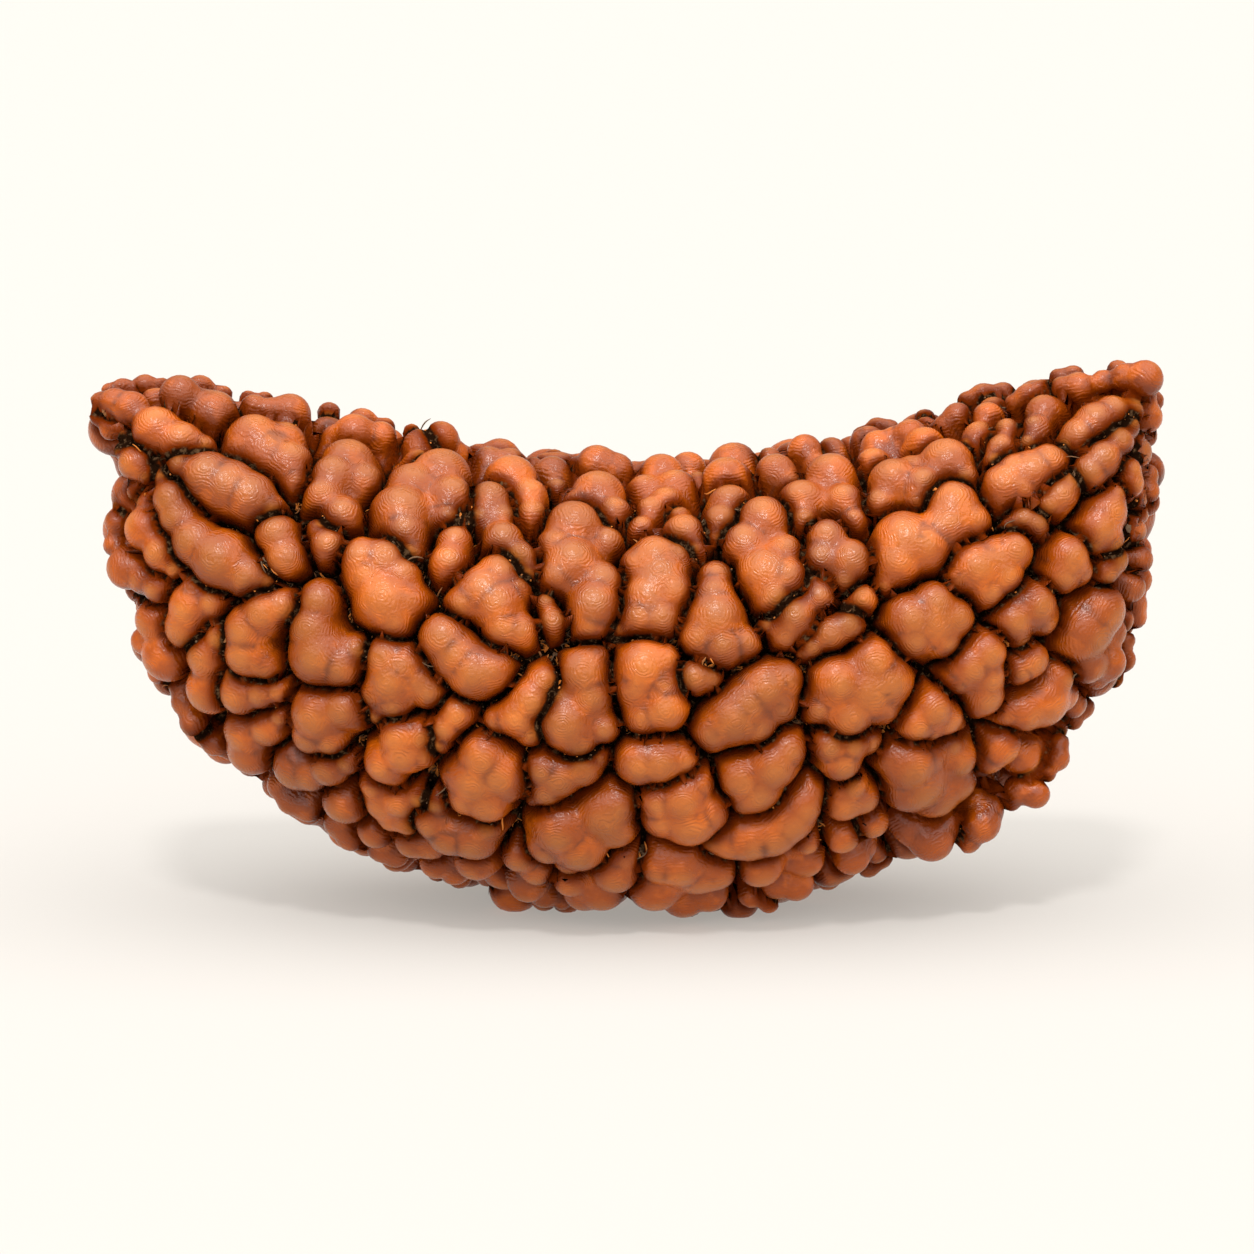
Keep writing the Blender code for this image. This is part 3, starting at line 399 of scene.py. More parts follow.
def growLobe(index, size, limits, searched, facing, taken, draw):
    # a chain of bulges that leans towards the nearer horn, with shoulders beside some of them
    points, normals = searched
    here = points[index]
    lobe = [(here + normals[index] * growth["lift"], size, normals[index])]
    lean = -here[0] / body["halfLength"] + draw.normal(0, growth["lean"])
    heading = np.array([math.sin(lean), growth["stray"] * draw.normal(), -math.cos(lean)])
    for _ in range(draw.integers(*growth["chain"])):
        shoulder = np.cross(heading, normals[index]) * draw.choice((-1.0, 1.0))
        for turn, share in ((shoulder, growth["shoulders"]), (heading, 1)):
            nextSize = draw.uniform(*limits)
            step = turn * growth["step"] * (size + nextSize) + draw.normal(0, growth["wander"], 3)
            nearest = np.argmin(((points - here - step) ** 2).sum(1))
            if draw.random() > share:
                continue
            if isTaken(nearest, nextSize, searched, facing, taken):
                if turn is heading:
                    return lobe
                continue
            lobe.append((points[nearest] + normals[nearest] * growth["lift"], nextSize, normals[nearest]))
        here, size = points[nearest], nextSize
    return lobe


def growHidden(placed, searched):
    # lobes for the sides out of view, the long ones first and then what fits between them
    draw = np.random.default_rng(growth["seed"])
    points, normals = searched
    facing = ((eyeAxes()[0] - points) * normals).sum(1) > growth["seenSlope"] * picture["eyeDistance"]
    spots, sizes = (np.array([bulge[part] for lobe in placed for bulge in lobe]) for part in (0, 1))
    grown = []
    for fewest, small, large in growth["rounds"]:
        for index in draw.permutation(len(points)):
            size = draw.uniform(small, large)
            if isTaken(index, size, searched, facing, (spots, sizes)):
                continue
            lobe = growLobe(index, size, (small, large), searched, facing, (spots, sizes), draw)
            if len(lobe) < fewest:
                continue
            grown.append(lobe)
            spots = np.concatenate([spots, [bulge[0] for bulge in lobe]])
            sizes = np.concatenate([sizes, [bulge[1] for bulge in lobe]])
    return grown


def standingFeet():
    # three low bulges round the weight, whose undersides reach the ground
    radius = growth["footRadius"]
    down = np.array([0.0, 0.0, -1.0])
    return [[(np.array([x, y, radius - growth["groundBite"]]), radius, down)] for x, y in growth["feet"]]


def deselectAll():
    if bpy.context.mode != "OBJECT":
        bpy.ops.object.mode_set(mode="OBJECT")
    bpy.ops.object.select_all(action="DESELECT")


def choose(items):
    deselectAll()
    for item in items:
        item.select_set(True)
    bpy.context.view_layer.objects.active = items[0]


def editWhole(operation, **settings):
    bpy.ops.object.mode_set(mode="EDIT")
    bpy.ops.mesh.select_all(action="SELECT")
    operation(**settings)
    bpy.ops.object.mode_set(mode="OBJECT")


def applyModifier(item, kind, **settings):
    choose([item])
    modifier = item.modifiers.new(kind, kind)
    for key, value in settings.items():
        setattr(modifier, key, value)
    bpy.ops.object.modifier_apply(modifier=modifier.name)


def readPoints(item, kind="co"):
    points = np.empty(len(item.data.vertices) * 3, np.float32)
    item.data.vertices.foreach_get(kind, points)
    return points.reshape(-1, 3).astype(float)


def writePoints(item, points):
    item.data.vertices.foreach_set("co", points.astype(np.float32).ravel())
    item.data.update()


def writeAttribute(item, name, values):
    attribute = item.data.attributes.new(name, "FLOAT", "POINT")
    attribute.data.foreach_set("value", values.astype(np.float32))


# The fine skin of the stone
skin = {
    "firstVoxel": 0.00016,
    "voxel": 0.000118,
    "triangles": 196000,
    "coreSteps": (96, 120),  # round the plain body, and along it
    "bulgeDetail": 3,
    "rounds": (2, 1, 1),  # of settling, for the first skin, the fine one and the thinned one
    "headGrowth": 1.15,  # of the room that a bulge has in its lobe, how much its head fills
    "headSizes": (1.3, 2.0),  # least and most, in bulge sizes
    "headFacing": 2.0,  # how fast heads reach those sizes, from none at the edge of view
    "headRise": 0.25,  # of what a head grows, how much it also rises
    "headBlend": 0.00006,
    "usualHeads": 2.0,  # the blend swells a lobe, which is taken off again for so many heads at most
    "furrowDepth": 0.00070,  # of the furrows' floor, under the plain body
    "domeLift": 0.00010,
    "domeShare": 0.60,  # how high the domes between heads and furrows stand, in head sizes
    "domePower": 2.1,
    "domeBlend": 0.00009,
    "leastReach": 0.2,  # of a dome from its middle, in head sizes
    "farAway": 0.01,  # where no lobe is near
    "usualRadius": 0.0006,
    "margin": 0.0012,
    "newtonSteps": 3,
    "longestStep": 0.0003,
    "leastClimb": 0.25,
    "upright": (0.1, 0.4),  # how far a face looks up from the body, from nearly sideways to well up
    "hanging": (-0.4, 0.0),
    "shoreWidth": 0.00040,  # of the strip beside a furrow
    "shoreGain": 2,
    "relax": 0.5,
    "furrowCut": 0.00015,  # how much deeper a furrow is than where two lobes meet
    "cutWidth": 0.00008,
    "furrowWidth": 0.00022,
    "creaseWidth": 0.00007,
    "tintSeed": 5,
    "plainTint": 0.5,  # where no lobe is near
}


def bodyDistance(points):
    # how far outside the plain body each point is, nearly
    along = points[:, 0] - dentAt(points)
    middle, height, thick = halfSizes(along)
    height, thick = (np.maximum(size, body["thinnest"]) for size in (height, thick))
    across, rise = points[:, 1] / thick, (points[:, 2] - middle) / height
    share = np.hypot(across, rise)
    slope = np.hypot(across / thick, rise / height) / np.maximum(share, body["leastShare"])
    sideways = (share - 1) / np.maximum(slope, body["leastShare"])
    beyond = np.abs(along - body["middle"]) - coreLength
    return np.maximum(sideways, beyond)


def bodySlope(points):
    # the outward direction of the plain body round each point
    slope = np.empty_like(points)
    for axis in range(3):
        shift = np.zeros(3)
        shift[axis] = body["slopeStep"]
        slope[:, axis] = bodyDistance(points + shift) - bodyDistance(points - shift)
    return slope / (np.linalg.norm(slope, axis=1, keepdims=True) + body["nothing"])


def smoothLeast(gaps, softness):
    # the least of each row, rounded where two come near, and each one's share in it
    least = gaps.min(1, keepdims=True)
    shares = np.exp((least - gaps) / softness)
    total = shares.sum(1, keepdims=True)
    return least[:, 0] - softness * np.log(total[:, 0]), shares / total


def lobeField(points, lobe):
    # distance to one lobe's heads, which run together, its slope, and marks
    centres, radii, outward = lobe
    away = points[:, None] - centres
    lengths = np.linalg.norm(away, axis=2)
    gaps = lengths - radii
    distance, shares = smoothLeast(gaps, skin["headBlend"])
    distance += skin["headBlend"] * math.log(min(len(radii), skin["usualHeads"]))
    slope = (away / lengths[..., None] * shares[..., None]).sum(1)
    summits = np.linalg.norm(points[:, None] - (centres + radii[:, None] * outward), axis=2)
    crease = np.ones(len(points))
    if len(radii) > 1:
        ordered = np.sort(gaps, axis=1)
        crease = ordered[:, 1] - ordered[:, 0]
    return distance, slope, (radii * shares).sum(1), (summits * shares).sum(1), crease


def nearLobes(points, lobes):
    # for each lobe, the points that it could touch
    near = []
    for centres, radii, _ in lobes:
        middle = centres.mean(0)
        reach = (np.linalg.norm(centres - middle, axis=1) + radii).max() + skin["margin"]
        near.append(np.where(((points - middle) ** 2).sum(1) < reach ** 2)[0])
    return near


def packLobes(lobes):
    # the heads of each lobe: a bulge grows as wide as its lobe does round it, mostly inwards
    bulges = [bulge for lobe in lobes for bulge in lobe]
    spots, sizes, outward = (np.array(column) for column in zip(*bulges))
    owners = np.repeat(np.arange(len(lobes)), [len(lobe) for lobe in lobes])
    room = np.linalg.norm(spots[:, None] - spots, axis=2) - sizes
    room[owners[:, None] == owners] = np.inf
    turned = np.clip(skin["headFacing"] * np.abs(outward @ eyeAxes()[3]), 0, 1)
    least, most = (1 + (share - 1) * turned for share in skin["headSizes"])
    heads = np.clip(skin["headGrowth"] * (room.min(1) + sizes) / 2, least * sizes, most * sizes)
    spots = spots - ((heads - sizes) * (1 - skin["headRise"]))[:, None] * outward
    spots[:, 2] = np.maximum(spots[:, 2], heads - growth["groundBite"])
    return [(spots[owners == i], heads[owners == i], outward[owners == i]) for i in range(len(lobes))]


def stoneField(points, lobes, near):
    # distance to the stone's skin, its slope, the gap to the next lobe, and the nearest lobe's marks
    count = len(points)
    first, second = np.full(count, skin["farAway"]), np.full(count, skin["farAway"])
    slope, radius = np.zeros_like(points), np.full(count, skin["usualRadius"])
    rings, crease, owner = np.zeros(count), np.ones(count), np.full(count, -1)
    for number, (lobe, touched) in enumerate(zip(lobes, near)):
        values = lobeField(points[touched], lobe)
        closer = values[0] < first[touched]
        won, runner = touched[closer], touched[~closer]
        second[won] = first[won]
        second[runner] = np.minimum(second[runner], values[0][~closer])
        for kept, value in zip((first, slope, radius, rings, crease), values):
            kept[won] = value[closer]
        owner[won] = number
    # a dome fills up each lobe's ground as far as the furrow to the next one
    gap = second - first
    fromMiddle = np.maximum(first + radius, skin["leastReach"] * radius)
    across = fromMiddle / (fromMiddle + gap / 2)
    rise = skin["furrowDepth"] + skin["domeLift"] + skin["domeShare"] * radius
    rise *= (1 - across ** skin["domePower"]) ** (1 / skin["domePower"])
    dome = bodyDistance(points) + skin["furrowDepth"] - rise
    distance, parts = smoothLeast(np.stack([first, dome], 1), skin["domeBlend"])
    distance += skin["furrowCut"] * np.exp(-gap / skin["cutWidth"])
    slope = slope * parts[:, :1] + bodySlope(points) * parts[:, 1:]
    return distance, slope, gap, rings, crease, owner, radius


def addCore():
    # the plain body, shaped from a ball with its poles at the horns
    segments, rings = skin["coreSteps"]
    bpy.ops.mesh.primitive_uv_sphere_add(
        segments=segments, ring_count=rings, radius=1, rotation=(0, math.pi / 2, 0)
    )
    core = bpy.context.object
    bpy.ops.object.transform_apply(location=True, rotation=True, scale=True)
    points = readPoints(core)
    along = body["middle"] + coreLength * np.clip(points[:, 0], -body["poles"], body["poles"])
    around = np.arctan2(points[:, 2], points[:, 1])
    middle, height, thick = halfSizes(along)
    writePoints(core, np.stack([along, thick * np.cos(around), middle + height * np.sin(around)], 1))
    return core


def addBulges(lobes):
    # one ball, copied to every bulge of every lobe
    bpy.ops.mesh.primitive_ico_sphere_add(subdivisions=skin["bulgeDetail"], radius=1)
    ball = bpy.context.object
    copies = []
    for lobe in lobes:
        for spot, size, _ in lobe:
            copy = ball.copy()
            copy.data = ball.data.copy()
            copy.data.transform(Matrix.Translation(spot) @ Matrix.Diagonal((size, size, size, 1)))
            bpy.context.collection.objects.link(copy)
            copies.append(copy)
    bpy.data.objects.remove(ball)
    return copies


def joinSkin(core, copies, voxel):
    # one skin over the body and its bulges; scraps round sealed gaps are dropped
    choose([core] + copies)
    bpy.ops.object.join()
    applyModifier(core, "REMESH", mode="VOXEL", voxel_size=voxel)
    editWhole(bpy.ops.mesh.separate, type="LOOSE")
    shells = sorted(bpy.context.selected_objects, key=lambda item: len(item.data.vertices))
    for shell in shells[:-1]:
        bpy.data.objects.remove(shell)
    choose([shells[-1]])
    return shells[-1]


def neighbourMean(item, points):
    edges = np.empty(len(item.data.edges) * 2, np.int32)
    item.data.edges.foreach_get("vertices", edges)
    edges = edges.reshape(-1, 2)
    total = np.zeros_like(points)
    count = np.zeros(len(points))
    for a, b in ((0, 1), (1, 0)):
        for axis in range(3):
            total[:, axis] += np.bincount(edges[:, a], points[edges[:, b], axis], len(points))
        count += np.bincount(edges[:, a], minlength=len(points))
    return total / count[:, None]


def settleOnLobes(item, lobes, rounds):
    # moves the skin's points onto the stone's form, evening them out between rounds
    points = readPoints(item)
    near = nearLobes(points, lobes)
    longest = skin["longestStep"]
    for turn in range(rounds):
        # where it can, straight up or down from the body, so that no furrow is left without points
        up = bodySlope(points)
        up /= np.linalg.norm(up, axis=1, keepdims=True)
        for _ in range(skin["newtonSteps"]):
            distance, slope, gap = stoneField(points, lobes, near)[:3]
            facing = (slope * up).sum(1)
            beside = np.exp(-gap / skin["shoreWidth"]) * np.interp(facing, skin["hanging"], (0, 1))
            beside = np.minimum(skin["shoreGain"] * beside, 1)
            lean = np.maximum(np.interp(facing, skin["upright"], (0, 1)), beside)
            way = slope + (up - slope) * lean[:, None]
            climb = np.maximum((slope * way).sum(1), skin["leastClimb"])
            points -= way * np.clip(distance / climb, -longest, longest)[:, None]
        if turn < rounds - 1:
            mean = neighbourMean(item, points)
            points += (mean - points) * skin["relax"]
    points[:, 2] = np.maximum(points[:, 2], 0)
    writePoints(item, points)
    return points, near


def markStone(item, points, lobes, near):
    # what the finish reads at each point
    gap, rings, crease, owner, radius = stoneField(points, lobes, near)[2:]
    draw = np.random.default_rng(skin["tintSeed"])
    tints = np.append(draw.uniform(0, 1, len(lobes)), skin["plainTint"])
    writeAttribute(item, "rings", rings * 1000)  # in millimetres
    writeAttribute(item, "near", rings / radius)
    writeAttribute(item, "furrow", np.exp(-gap / skin["furrowWidth"]))
    writeAttribute(item, "crease", np.exp(-crease / skin["creaseWidth"]))
    writeAttribute(item, "tint", tints[owner])


def thin(item, most):
    # fewer triangles, kept where the skin bends most
    share = most / (2 * len(item.data.polygons))  # its faces have four sides
    if share < 1:
        applyModifier(item, "DECIMATE", ratio=share)


print("placing lobes")
seenCircles = np.array([circle for lobe in faceLobes + edgeLobes for circle in lobe], float)
searched = bodyPoints(*growth["searchSteps"])
lobes = placeSeen(faceLobes, 0, searched) + placeSeen(edgeLobes, growth["edgeStep"], searched)
lobes += standingFeet()
lobes += growHidden(lobes, searched)
print(len(lobes), "lobes with", sum(len(lobe) for lobe in lobes), "bulges")

print("building the skin")
packed = packLobes(lobes)
deselectAll()
core = addCore()
stone = joinSkin(core, addBulges(lobes), skin["firstVoxel"])
stone.name = stone.data.name = "seed_skin"
settleOnLobes(stone, packed, skin["rounds"][0])
applyModifier(stone, "REMESH", mode="VOXEL", voxel_size=skin["voxel"])
settleOnLobes(stone, packed, skin["rounds"][1])
thin(stone, skin["triangles"])
stonePoints, near = settleOnLobes(stone, packed, skin["rounds"][2])
markStone(stone, stonePoints, packed, near)
stone.data.shade_smooth()
print("skin has", len(stone.data.polygons), "faces")


# Finish of the stone
finish = {
    # painted shade: the near-black floors of the furrows
    "deep": (0.010, 0.0038, 0.0016, 1),
    "furrowShadeAndDust": (0.085, 0.0450, 0.0210, 1),  # dusty grains in the furrows
    # painted shade: the darker flanks of the lobes
    "flankShadeColour": (0.125, 0.0170, 0.0008, 1),
    "side": (0.315, 0.0570, 0.0014, 1),
    "bright": (0.435, 0.0830, 0.0010, 1),  # clear orange patches
    # painted highlight: the paler tops of the heads
    "top": (0.465, 0.1600, 0.0320, 1),
    # painted shade: darker broken lines in the creases between heads
    "crease": (0.066, 0.0140, 0.0040, 1),
    "patterns": {  # how fine, how detailed and how rough
        "blotch": (900, 3),
        "patch": (1300, 2),
        "speck": (6000, 3, 0.6),
        "grain": (14000, 3, 0.6),
        "bend": (1500, 3),
        "breaks": (2600, 2),
    },
    # rings round the tops
    "ringsPerMm": 11.0,
    "bendShare": 0.45,
    "breakEdge": (0.35, 0.65),
    # where each colour starts and ends, and how strong it is
    "patternMiddle": 0.5,
    "waver": 0.9,
    "shoreWaver": 0.3,
    "slopeEdge": (0.85, 1.7),
    "slopeShare": 0.8,
    "shoreEdge": (0.0, 0.45),
    "brightEdge": (0.48, 0.62),
    "brightShore": (0.30, 0.05),
    "brightShare": 0.85,
    "topEdge": (0.80, 0.15),
    "ringTint": 0.06,
    "blotchTint": 0.9,
    "creaseEdge": (0.30, 1.0),
    "creaseBreaks": (0.42, 0.62),
    "creaseShare": 0.6,
    "dirtEdge": (0.52, 0.68),
    "darkWaver": 0.30,
    "darkEdge": (0.44, 0.66),
    "tintSpread": 0.35,  # between the palest and the darkest lobe
    "tintLeast": 0.82,
    # relief and gloss
    "ringRelief": 0.34,
    "grainRelief": 0.5,
    "speckRelief": 1.8,
    "bumpStrength": 0.8,
    "bump": 0.000022,
    "roughness": 0.09,  # of the smoothest places
    "speckRoughness": 0.25,
    "darkRoughness": 0.5,
    "specular": 0.40,
    "shineEdge": (0.5, 0.05),
}


def addNode(tree, kind, **settings):
    node = tree.nodes.new(kind)
    for key, value in settings.items():
        setattr(node, key, value)
    return node


def setInputs(node, values):
    # numbers and colours are set, and sockets are linked
    for name, value in values.items():
        if isinstance(value, (int, float, tuple)):
            node.inputs[name].default_value = value
        else:
            node.id_data.links.new(value, node.inputs[name])
    return node.outputs


def newMaterial(name):
    material = bpy.data.materials.new(name)
    material.use_nodes = True
    tree = material.node_tree
    return material, tree, tree.nodes["Principled BSDF"]


def attribute(tree, name):
    return addNode(tree, "ShaderNodeAttribute", attribute_name=name).outputs["Fac"]


def math2(operation, a, b, clamp=False):
    node = addNode(a.id_data, "ShaderNodeMath", operation=operation, use_clamp=clamp)
    return setInputs(node, {0: a, 1: b})[0]


def times(a, b):
    return math2("MULTIPLY", a, b)


def plus(a, b):
    return math2("ADD", a, b)


def mixColour(share, a, b):
    # the colour sockets share their names with others, so they are taken by number
    node = addNode(share.id_data, "ShaderNodeMix", data_type="RGBA")
    return setInputs(node, {0: share, 6: a, 7: b})[2]


def ramp(value, low, high):
    node = addNode(value.id_data, "ShaderNodeMapRange", interpolation_type="SMOOTHSTEP")
    return setInputs(node, {"Value": value, "From Min": low, "From Max": high})["Result"]


def noise(place, scale, detail, roughness=0.5):
    node = addNode(place.id_data, "ShaderNodeTexNoise")
    values = {"Vector": place, "Scale": scale, "Detail": detail, "Roughness": roughness}
    return setInputs(node, values)["Fac"]


def stoneFinish():
    material, tree, shader = newMaterial("seedShell")
    place = addNode(tree, "ShaderNodeTexCoord").outputs["Object"]
    furrow, crease, rings, tint, near = (
        attribute(tree, name) for name in ("furrow", "crease", "rings", "tint", "near")
    )
    blotch, patch, speck, grain, bend, breaks = (
        noise(place, *pattern) for pattern in finish["patterns"].values()
    )
    # fingerprint-like rings round every top, wavering and broken
    bent = plus(rings, times(bend, finish["bendShare"]))
    wave = math2("SINE", times(bent, finish["ringsPerMm"] * 2 * math.pi), 0)
    wave = times(wave, ramp(breaks, *finish["breakEdge"]))
    # where each colour lies, from the sides of the lobes up to their tops; the darker flanks towards the
    # furrows are painted shade
    waver = times(math2("SUBTRACT", blotch, finish["patternMiddle"]), finish["waver"])
    rise, shore = plus(near, waver), plus(furrow, times(waver, finish["shoreWaver"]))
    slopeShade = times(ramp(rise, *finish["slopeEdge"]), finish["slopeShare"])
    side = math2("MAXIMUM", slopeShade, ramp(shore, *finish["shoreEdge"]))
    orange = times(ramp(patch, *finish["brightEdge"]), ramp(shore, *finish["brightShore"]))
    lines = plus(times(wave, finish["ringTint"]), times(blotch, finish["blotchTint"]))
    # painted highlight on the tops of the heads, broken by rings and blotches
    topHighlight = times(ramp(rise, *finish["topEdge"]), lines)
    # painted shade along the creases between heads, broken by blotches
    creaseShade = times(ramp(crease, *finish["creaseEdge"]), ramp(blotch, *finish["creaseBreaks"]))
    colour = mixColour(side, finish["side"], finish["flankShadeColour"])
    colour = mixColour(times(orange, finish["brightShare"]), colour, finish["bright"])
    colour = mixColour(topHighlight, colour, finish["top"])
    colour = mixColour(times(creaseShade, finish["creaseShare"]), colour, finish["crease"])
    # painted shade on the near-black floors of the furrows, with dusty grains on it and ragged edges
    furrowShadeAndDust = mixColour(ramp(speck, *finish["dirtEdge"]), finish["deep"], finish["furrowShadeAndDust"])
    ragged = times(math2("SUBTRACT", speck, finish["patternMiddle"]), finish["darkWaver"])
    furrowShadeMask = ramp(plus(furrow, ragged), *finish["darkEdge"])
    # some lobes paler than others
    shade = plus(times(tint, finish["tintSpread"]), finish["tintLeast"])
    shaded = setInputs(
        addNode(tree, "ShaderNodeHueSaturation"), {"Value": shade, "Color": mixColour(furrowShadeMask, colour, furrowShadeAndDust)}
    )
    relief = plus(times(wave, finish["ringRelief"]), times(grain, finish["grainRelief"]))
    relief = plus(relief, times(speck, finish["speckRelief"]))
    bumped = setInputs(
        addNode(tree, "ShaderNodeBump"),
        {"Strength": finish["bumpStrength"], "Distance": finish["bump"], "Height": relief},
    )
    rough = plus(times(speck, finish["speckRoughness"]), finish["roughness"])
    setInputs(shader, {
        "Base Color": shaded["Color"],
        "Normal": bumped["Normal"],
        "Roughness": math2("ADD", rough, times(furrowShadeMask, finish["darkRoughness"]), True),
        "Specular IOR Level": times(ramp(furrow, *finish["shineEdge"]), finish["specular"]),
    })
    return material


# What has caught in the furrows: rusty shreds and crumbs of the dried skin
litter = {
    "seed": 23,
    "leastHeight": 0.00005,  # over the ground
    "lowest": 0.0022,  # height that any of it lies at
    "spots": (  # column and row of those that the photograph shows
        (196, 420), (218, 440), (300, 506), (240, 535), (265, 562), (285, 583), (321, 576),
        (342, 600), (354, 617), (366, 634), (394, 474), (370, 505), (366, 520), (433, 586),
        (440, 596), (539, 645), (565, 640), (558, 660), (622, 725), (620, 540), (674, 644),
        (739, 676), (790, 655), (808, 668), (803, 718), (787, 792), (825, 783), (818, 824),
        (885, 733), (965, 730), (975, 760), (1059, 603), (1055, 647), (630, 785), (587, 794),
        (521, 816), (642, 844), (470, 707), (366, 742), (430, 777), (1010, 415), (418, 612),
        (300, 545), (512, 655), (700, 668),
    ),
    "perSpot": (7, 10, 3),  # shreds, crumbs and flakes
    "scatter": 0.00022,
    "elsewhere": (160, 1400, 90),
    "inFurrow": 0.62,  # least furrow mark of the points that they lie on
    "turnedAway": 1e6,  # keeps points out of view from being taken for the spots
    "shredLength": (0.00018, 0.00050),
    "shredRadius": (0.000014, 0.000036),
    "shredSides": 5,
    "shredEnd": 0.5,  # of its length, from its middle
    "shredCuts": (-0.3, -0.1, 0.1, 0.3),
    "shredTaper": 0.6,
    "shredLift": (0.00006, 0.00026),
    "shredBow": 0.35,
    "shredTilt": (0, 0.3),
    "shredSway": (0.6, 0.8),  # to one side, and to both
    "swayMiddle": 0.1,
    "crumbSize": (0.000018, 0.000046),
    "crumbRough": (0.65, 1.25),
    "crumbStretch": (0.6, 1.3),
    "crumbThickness": 0.7,
    "crumbLift": 0.2,
    "flakeSize": (0.00006, 0.00013),
    "flakeThickness": 0.3,
    "flakeTilt": 0.8,
    "detail": {"crumb": 1, "flake": 2},
    "rust": (0.560, 0.1700, 0.0260, 1),
    "dust": (0.110, 0.0620, 0.0320, 1),
    "mottles": (20000, 2),
    "mottleShare": 0.3,
    "dustEdge": (0.85, 0.35),
    "roughness": 0.75,
    "specular": 0.2,
}


def randomTurn(normal, draw):
    # two directions along the surface there, turned at random
    first = np.cross(normal, draw.normal(size=3))
    first /= np.linalg.norm(first)
    return first, np.cross(normal, first)


def shredPoints(template, spot, normal, draw):
    # a bowed thread that thins towards its ends, one end rising out of the furrow
    along, across = randomTurn(normal, draw)
    length, radius = draw.uniform(*litter["shredLength"]), draw.uniform(*litter["shredRadius"])
    end, t = litter["shredEnd"], template[:, 2]
    thin = (1 - litter["shredTaper"] * (t / end) ** 2)[:, None]
    bow = litter["shredBow"] * length * (end ** 2 - t ** 2)
    curve, twist = (length * draw.normal(0, spread) for spread in litter["shredSway"])
    sway = curve * (t ** 2 - litter["swayMiddle"]) + twist * t ** 3
    lift = radius + draw.uniform(*litter["shredLift"]) + bow
    lift = lift + length * draw.uniform(*litter["shredTilt"]) * (t + end)
    middle = spot + t[:, None] * length * along + sway[:, None] * across + lift[:, None] * normal
    return middle + radius * thin * (template[:, :1] * across + template[:, 1:2] * normal)


def grainPoints(template, spot, normal, draw, sizes, thickness):
    # a rough lump, raised a little off the ground
    along, across = randomTurn(normal, draw)
    size = draw.uniform(*sizes)
    rough = template * draw.uniform(*litter["crumbRough"], (len(template), 1))
    shape = draw.uniform(*litter["crumbStretch"]) * rough[:, :1] * along
    shape = shape + rough[:, 1:2] * across + thickness * rough[:, 2:] * normal
    return spot + size * (shape + litter["crumbLift"] * normal)


def crumbPoints(template, spot, normal, draw):
    return grainPoints(template, spot, normal, draw, litter["crumbSize"], litter["crumbThickness"])


def flakePoints(template, spot, normal, draw):
    # a chip of skin standing askew
    tilted = normal + litter["flakeTilt"] * draw.normal(size=3)
    tilted /= np.linalg.norm(tilted)
    return grainPoints(template, spot, tilted, draw, litter["flakeSize"], litter["flakeThickness"])


def addTemplate(kind):
    if kind == "shred":
        bpy.ops.mesh.primitive_cylinder_add(vertices=litter["shredSides"], radius=1, depth=1)
        for height in litter["shredCuts"]:
            editWhole(bpy.ops.mesh.bisect, plane_co=(0, 0, height), plane_no=(0, 0, 1))
    else:
        bpy.ops.mesh.primitive_ico_sphere_add(subdivisions=litter["detail"][kind], radius=1)
    return bpy.context.object


def addLitter(name, kind, shapePoints, places, draw):
    # one template, copied to every place and shaped there, then joined
    deselectAll()
    template = addTemplate(kind)
    base = readPoints(template)
    copies = []
    for spot, normal in places:
        copy = template.copy()
        copy.data = template.data.copy()
        bpy.context.collection.objects.link(copy)
        points = shapePoints(base, spot, normal, draw)
        points[:, 2] = np.maximum(points[:, 2], litter["leastHeight"])
        writePoints(copy, points)
        writeAttribute(copy, "tint", np.full(len(points), draw.random()))
        copies.append(copy)
    bpy.data.objects.remove(template)
    choose(copies)
    bpy.ops.object.join()
    piece = bpy.context.object
    piece.name = piece.data.name = name
    editWhole(bpy.ops.mesh.normals_make_consistent, inside=False)
    if kind == "shred":
        piece.data.shade_smooth()
    piece.data.materials.append(litterMaterial)
    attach(piece, "root")
    print(name, "has", len(piece.data.polygons), "faces")


def litterPlaces(item, draw):
    # for each kind, points on the furrows' floors and their outward directions
    points, normals = readPoints(item), readPoints(item, "normal")
    furrow = np.empty(len(points), np.float32)
    item.data.attributes["furrow"].data.foreach_get("value", furrow)
    inside = (furrow > litter["inFurrow"]) & (points[:, 2] > litter["lowest"])
    points, normals = points[inside], normals[inside]
    eye = eyeAxes()[0]
    facing = ((eye - points) * normals).sum(1) > 0
    columns, rows, _ = pixelsOf(points)
    places = [[], [], []]
    for column, row in litter["spots"]:
        apart = (columns - column) ** 2 + (rows - row) ** 2
        apart += np.where(facing, 0, litter["turnedAway"])
        middle = points[np.argmin(apart)]
        beside = np.where(np.linalg.norm(points - middle, axis=1) < litter["scatter"])[0]
        for kind, number in enumerate(litter["perSpot"]):
            chosen = draw.choice(beside, min(number, len(beside)), replace=False)
            places[kind] += [(points[i], normals[i]) for i in chosen]
    for kind, number in enumerate(litter["elsewhere"]):
        chosen = draw.choice(len(points), number, replace=False)
        places[kind] += [(points[i], normals[i]) for i in chosen]
    return places


def litterFinish():
    material, tree, shader = newMaterial("driedShreds")
    place = addNode(tree, "ShaderNodeTexCoord").outputs["Object"]
    mottle = times(noise(place, *litter["mottles"]), litter["mottleShare"])
    share = ramp(plus(attribute(tree, "tint"), mottle), *litter["dustEdge"])
    setInputs(shader, {
        "Base Color": mixColour(share, litter["dust"], litter["rust"]),
        "Roughness": litter["roughness"],
        "Specular IOR Level": litter["specular"],
    })
    return material


print("finishing")
stone.data.materials.append(stoneFinish())
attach(stone, "root")
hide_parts("seed_stone")

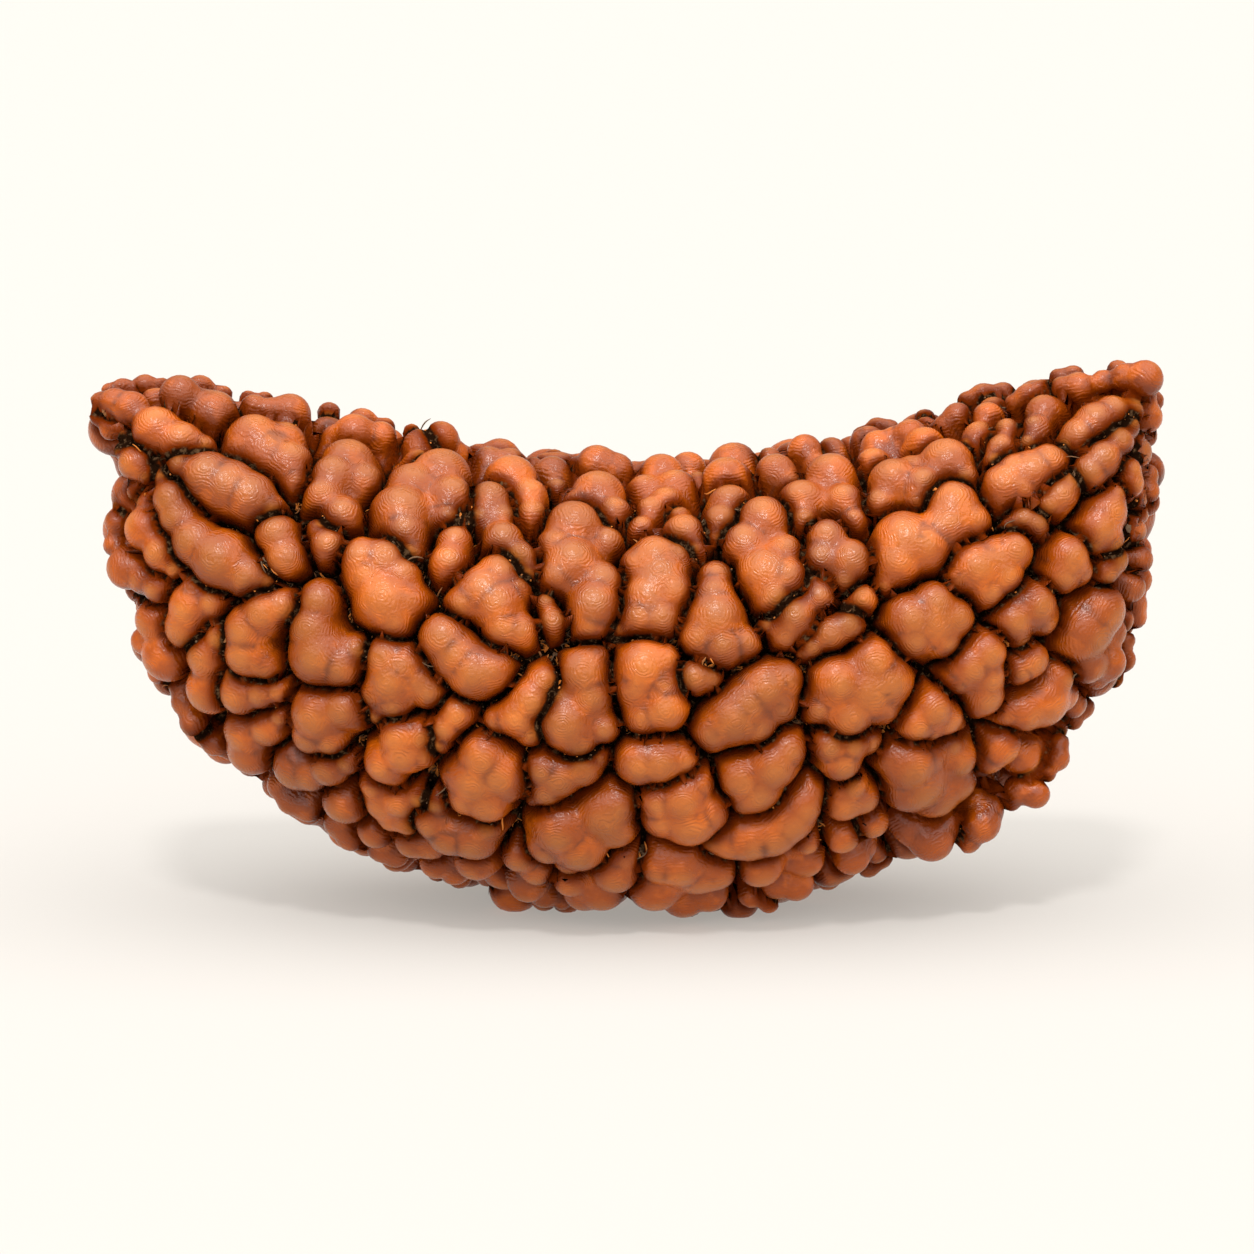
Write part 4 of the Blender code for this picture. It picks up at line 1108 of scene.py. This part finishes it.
print("laying shreds and crumbs")
litterMaterial = litterFinish()
scatter = np.random.default_rng(litter["seed"])
shreds, crumbs, flakes = litterPlaces(stone, scatter)
addLitter("furrow_shreds", "shred", shredPoints, shreds, scatter)
addLitter("furrow_crumbs", "crumb", crumbPoints, crumbs, scatter)
addLitter("furrow_flakes", "flake", flakePoints, flakes, scatter)


# Floor, light and camera
studio = {
    "floorSize": 2.0,
    "floor": {
        "Base Color": (0.335, 0.319, 0.300, 1),
        "Roughness": 0.9,
        "Specular IOR Level": 0.1,
        "Emission Color": (1.0, 0.955, 0.880, 1),
        "Emission Strength": 0.34,
    },
    "sky": {"Color": (1.0, 0.98, 0.94, 1), "Strength": 0.48},
    "suns": (  # strength, spread, where from
        (1.3, math.radians(8), (-0.06, -0.66, 1.00)),
        (4.3, math.radians(115), (0.0, -0.42, 1.00)),
    ),
    "sensorWidth": 36,
    "nearestSeen": 0.001,
}


def addFloor():
    bpy.ops.mesh.primitive_plane_add(size=studio["floorSize"], location=(0, 0, 0))
    floor = bpy.context.object
    floor.name = "floor"
    material, _, shader = newMaterial("paleFloor")
    setInputs(shader, studio["floor"])
    floor.data.materials.append(material)


def addLight():
    world = bpy.data.worlds.new("studio")
    bpy.context.scene.world = world
    world.use_nodes = True
    setInputs(world.node_tree.nodes["Background"], studio["sky"])
    for strength, spread, start in studio["suns"]:
        bpy.ops.object.light_add(type="SUN")
        sun = bpy.context.object
        sun.data.energy = strength
        sun.data.angle = spread
        sun.rotation_euler = Vector(start).to_track_quat("Z", "Y").to_euler()


def addCamera():
    eye, _, _, forward = eyeAxes()
    bpy.ops.object.camera_add(location=eye)
    camera = bpy.context.object
    camera.rotation_euler = Vector(forward).to_track_quat("-Z", "Y").to_euler()
    pixelsWide = 2 * picture["middle"]
    camera.data.sensor_width = studio["sensorWidth"]
    camera.data.lens = studio["sensorWidth"] / (pixelsWide * metresPerPixel(1))
    camera.data.clip_start = studio["nearestSeen"]
    bpy.context.scene.camera = camera


print("setting the studio")
addFloor()
addLight()
addCamera()
bpy.context.scene.view_settings.view_transform = "Standard"
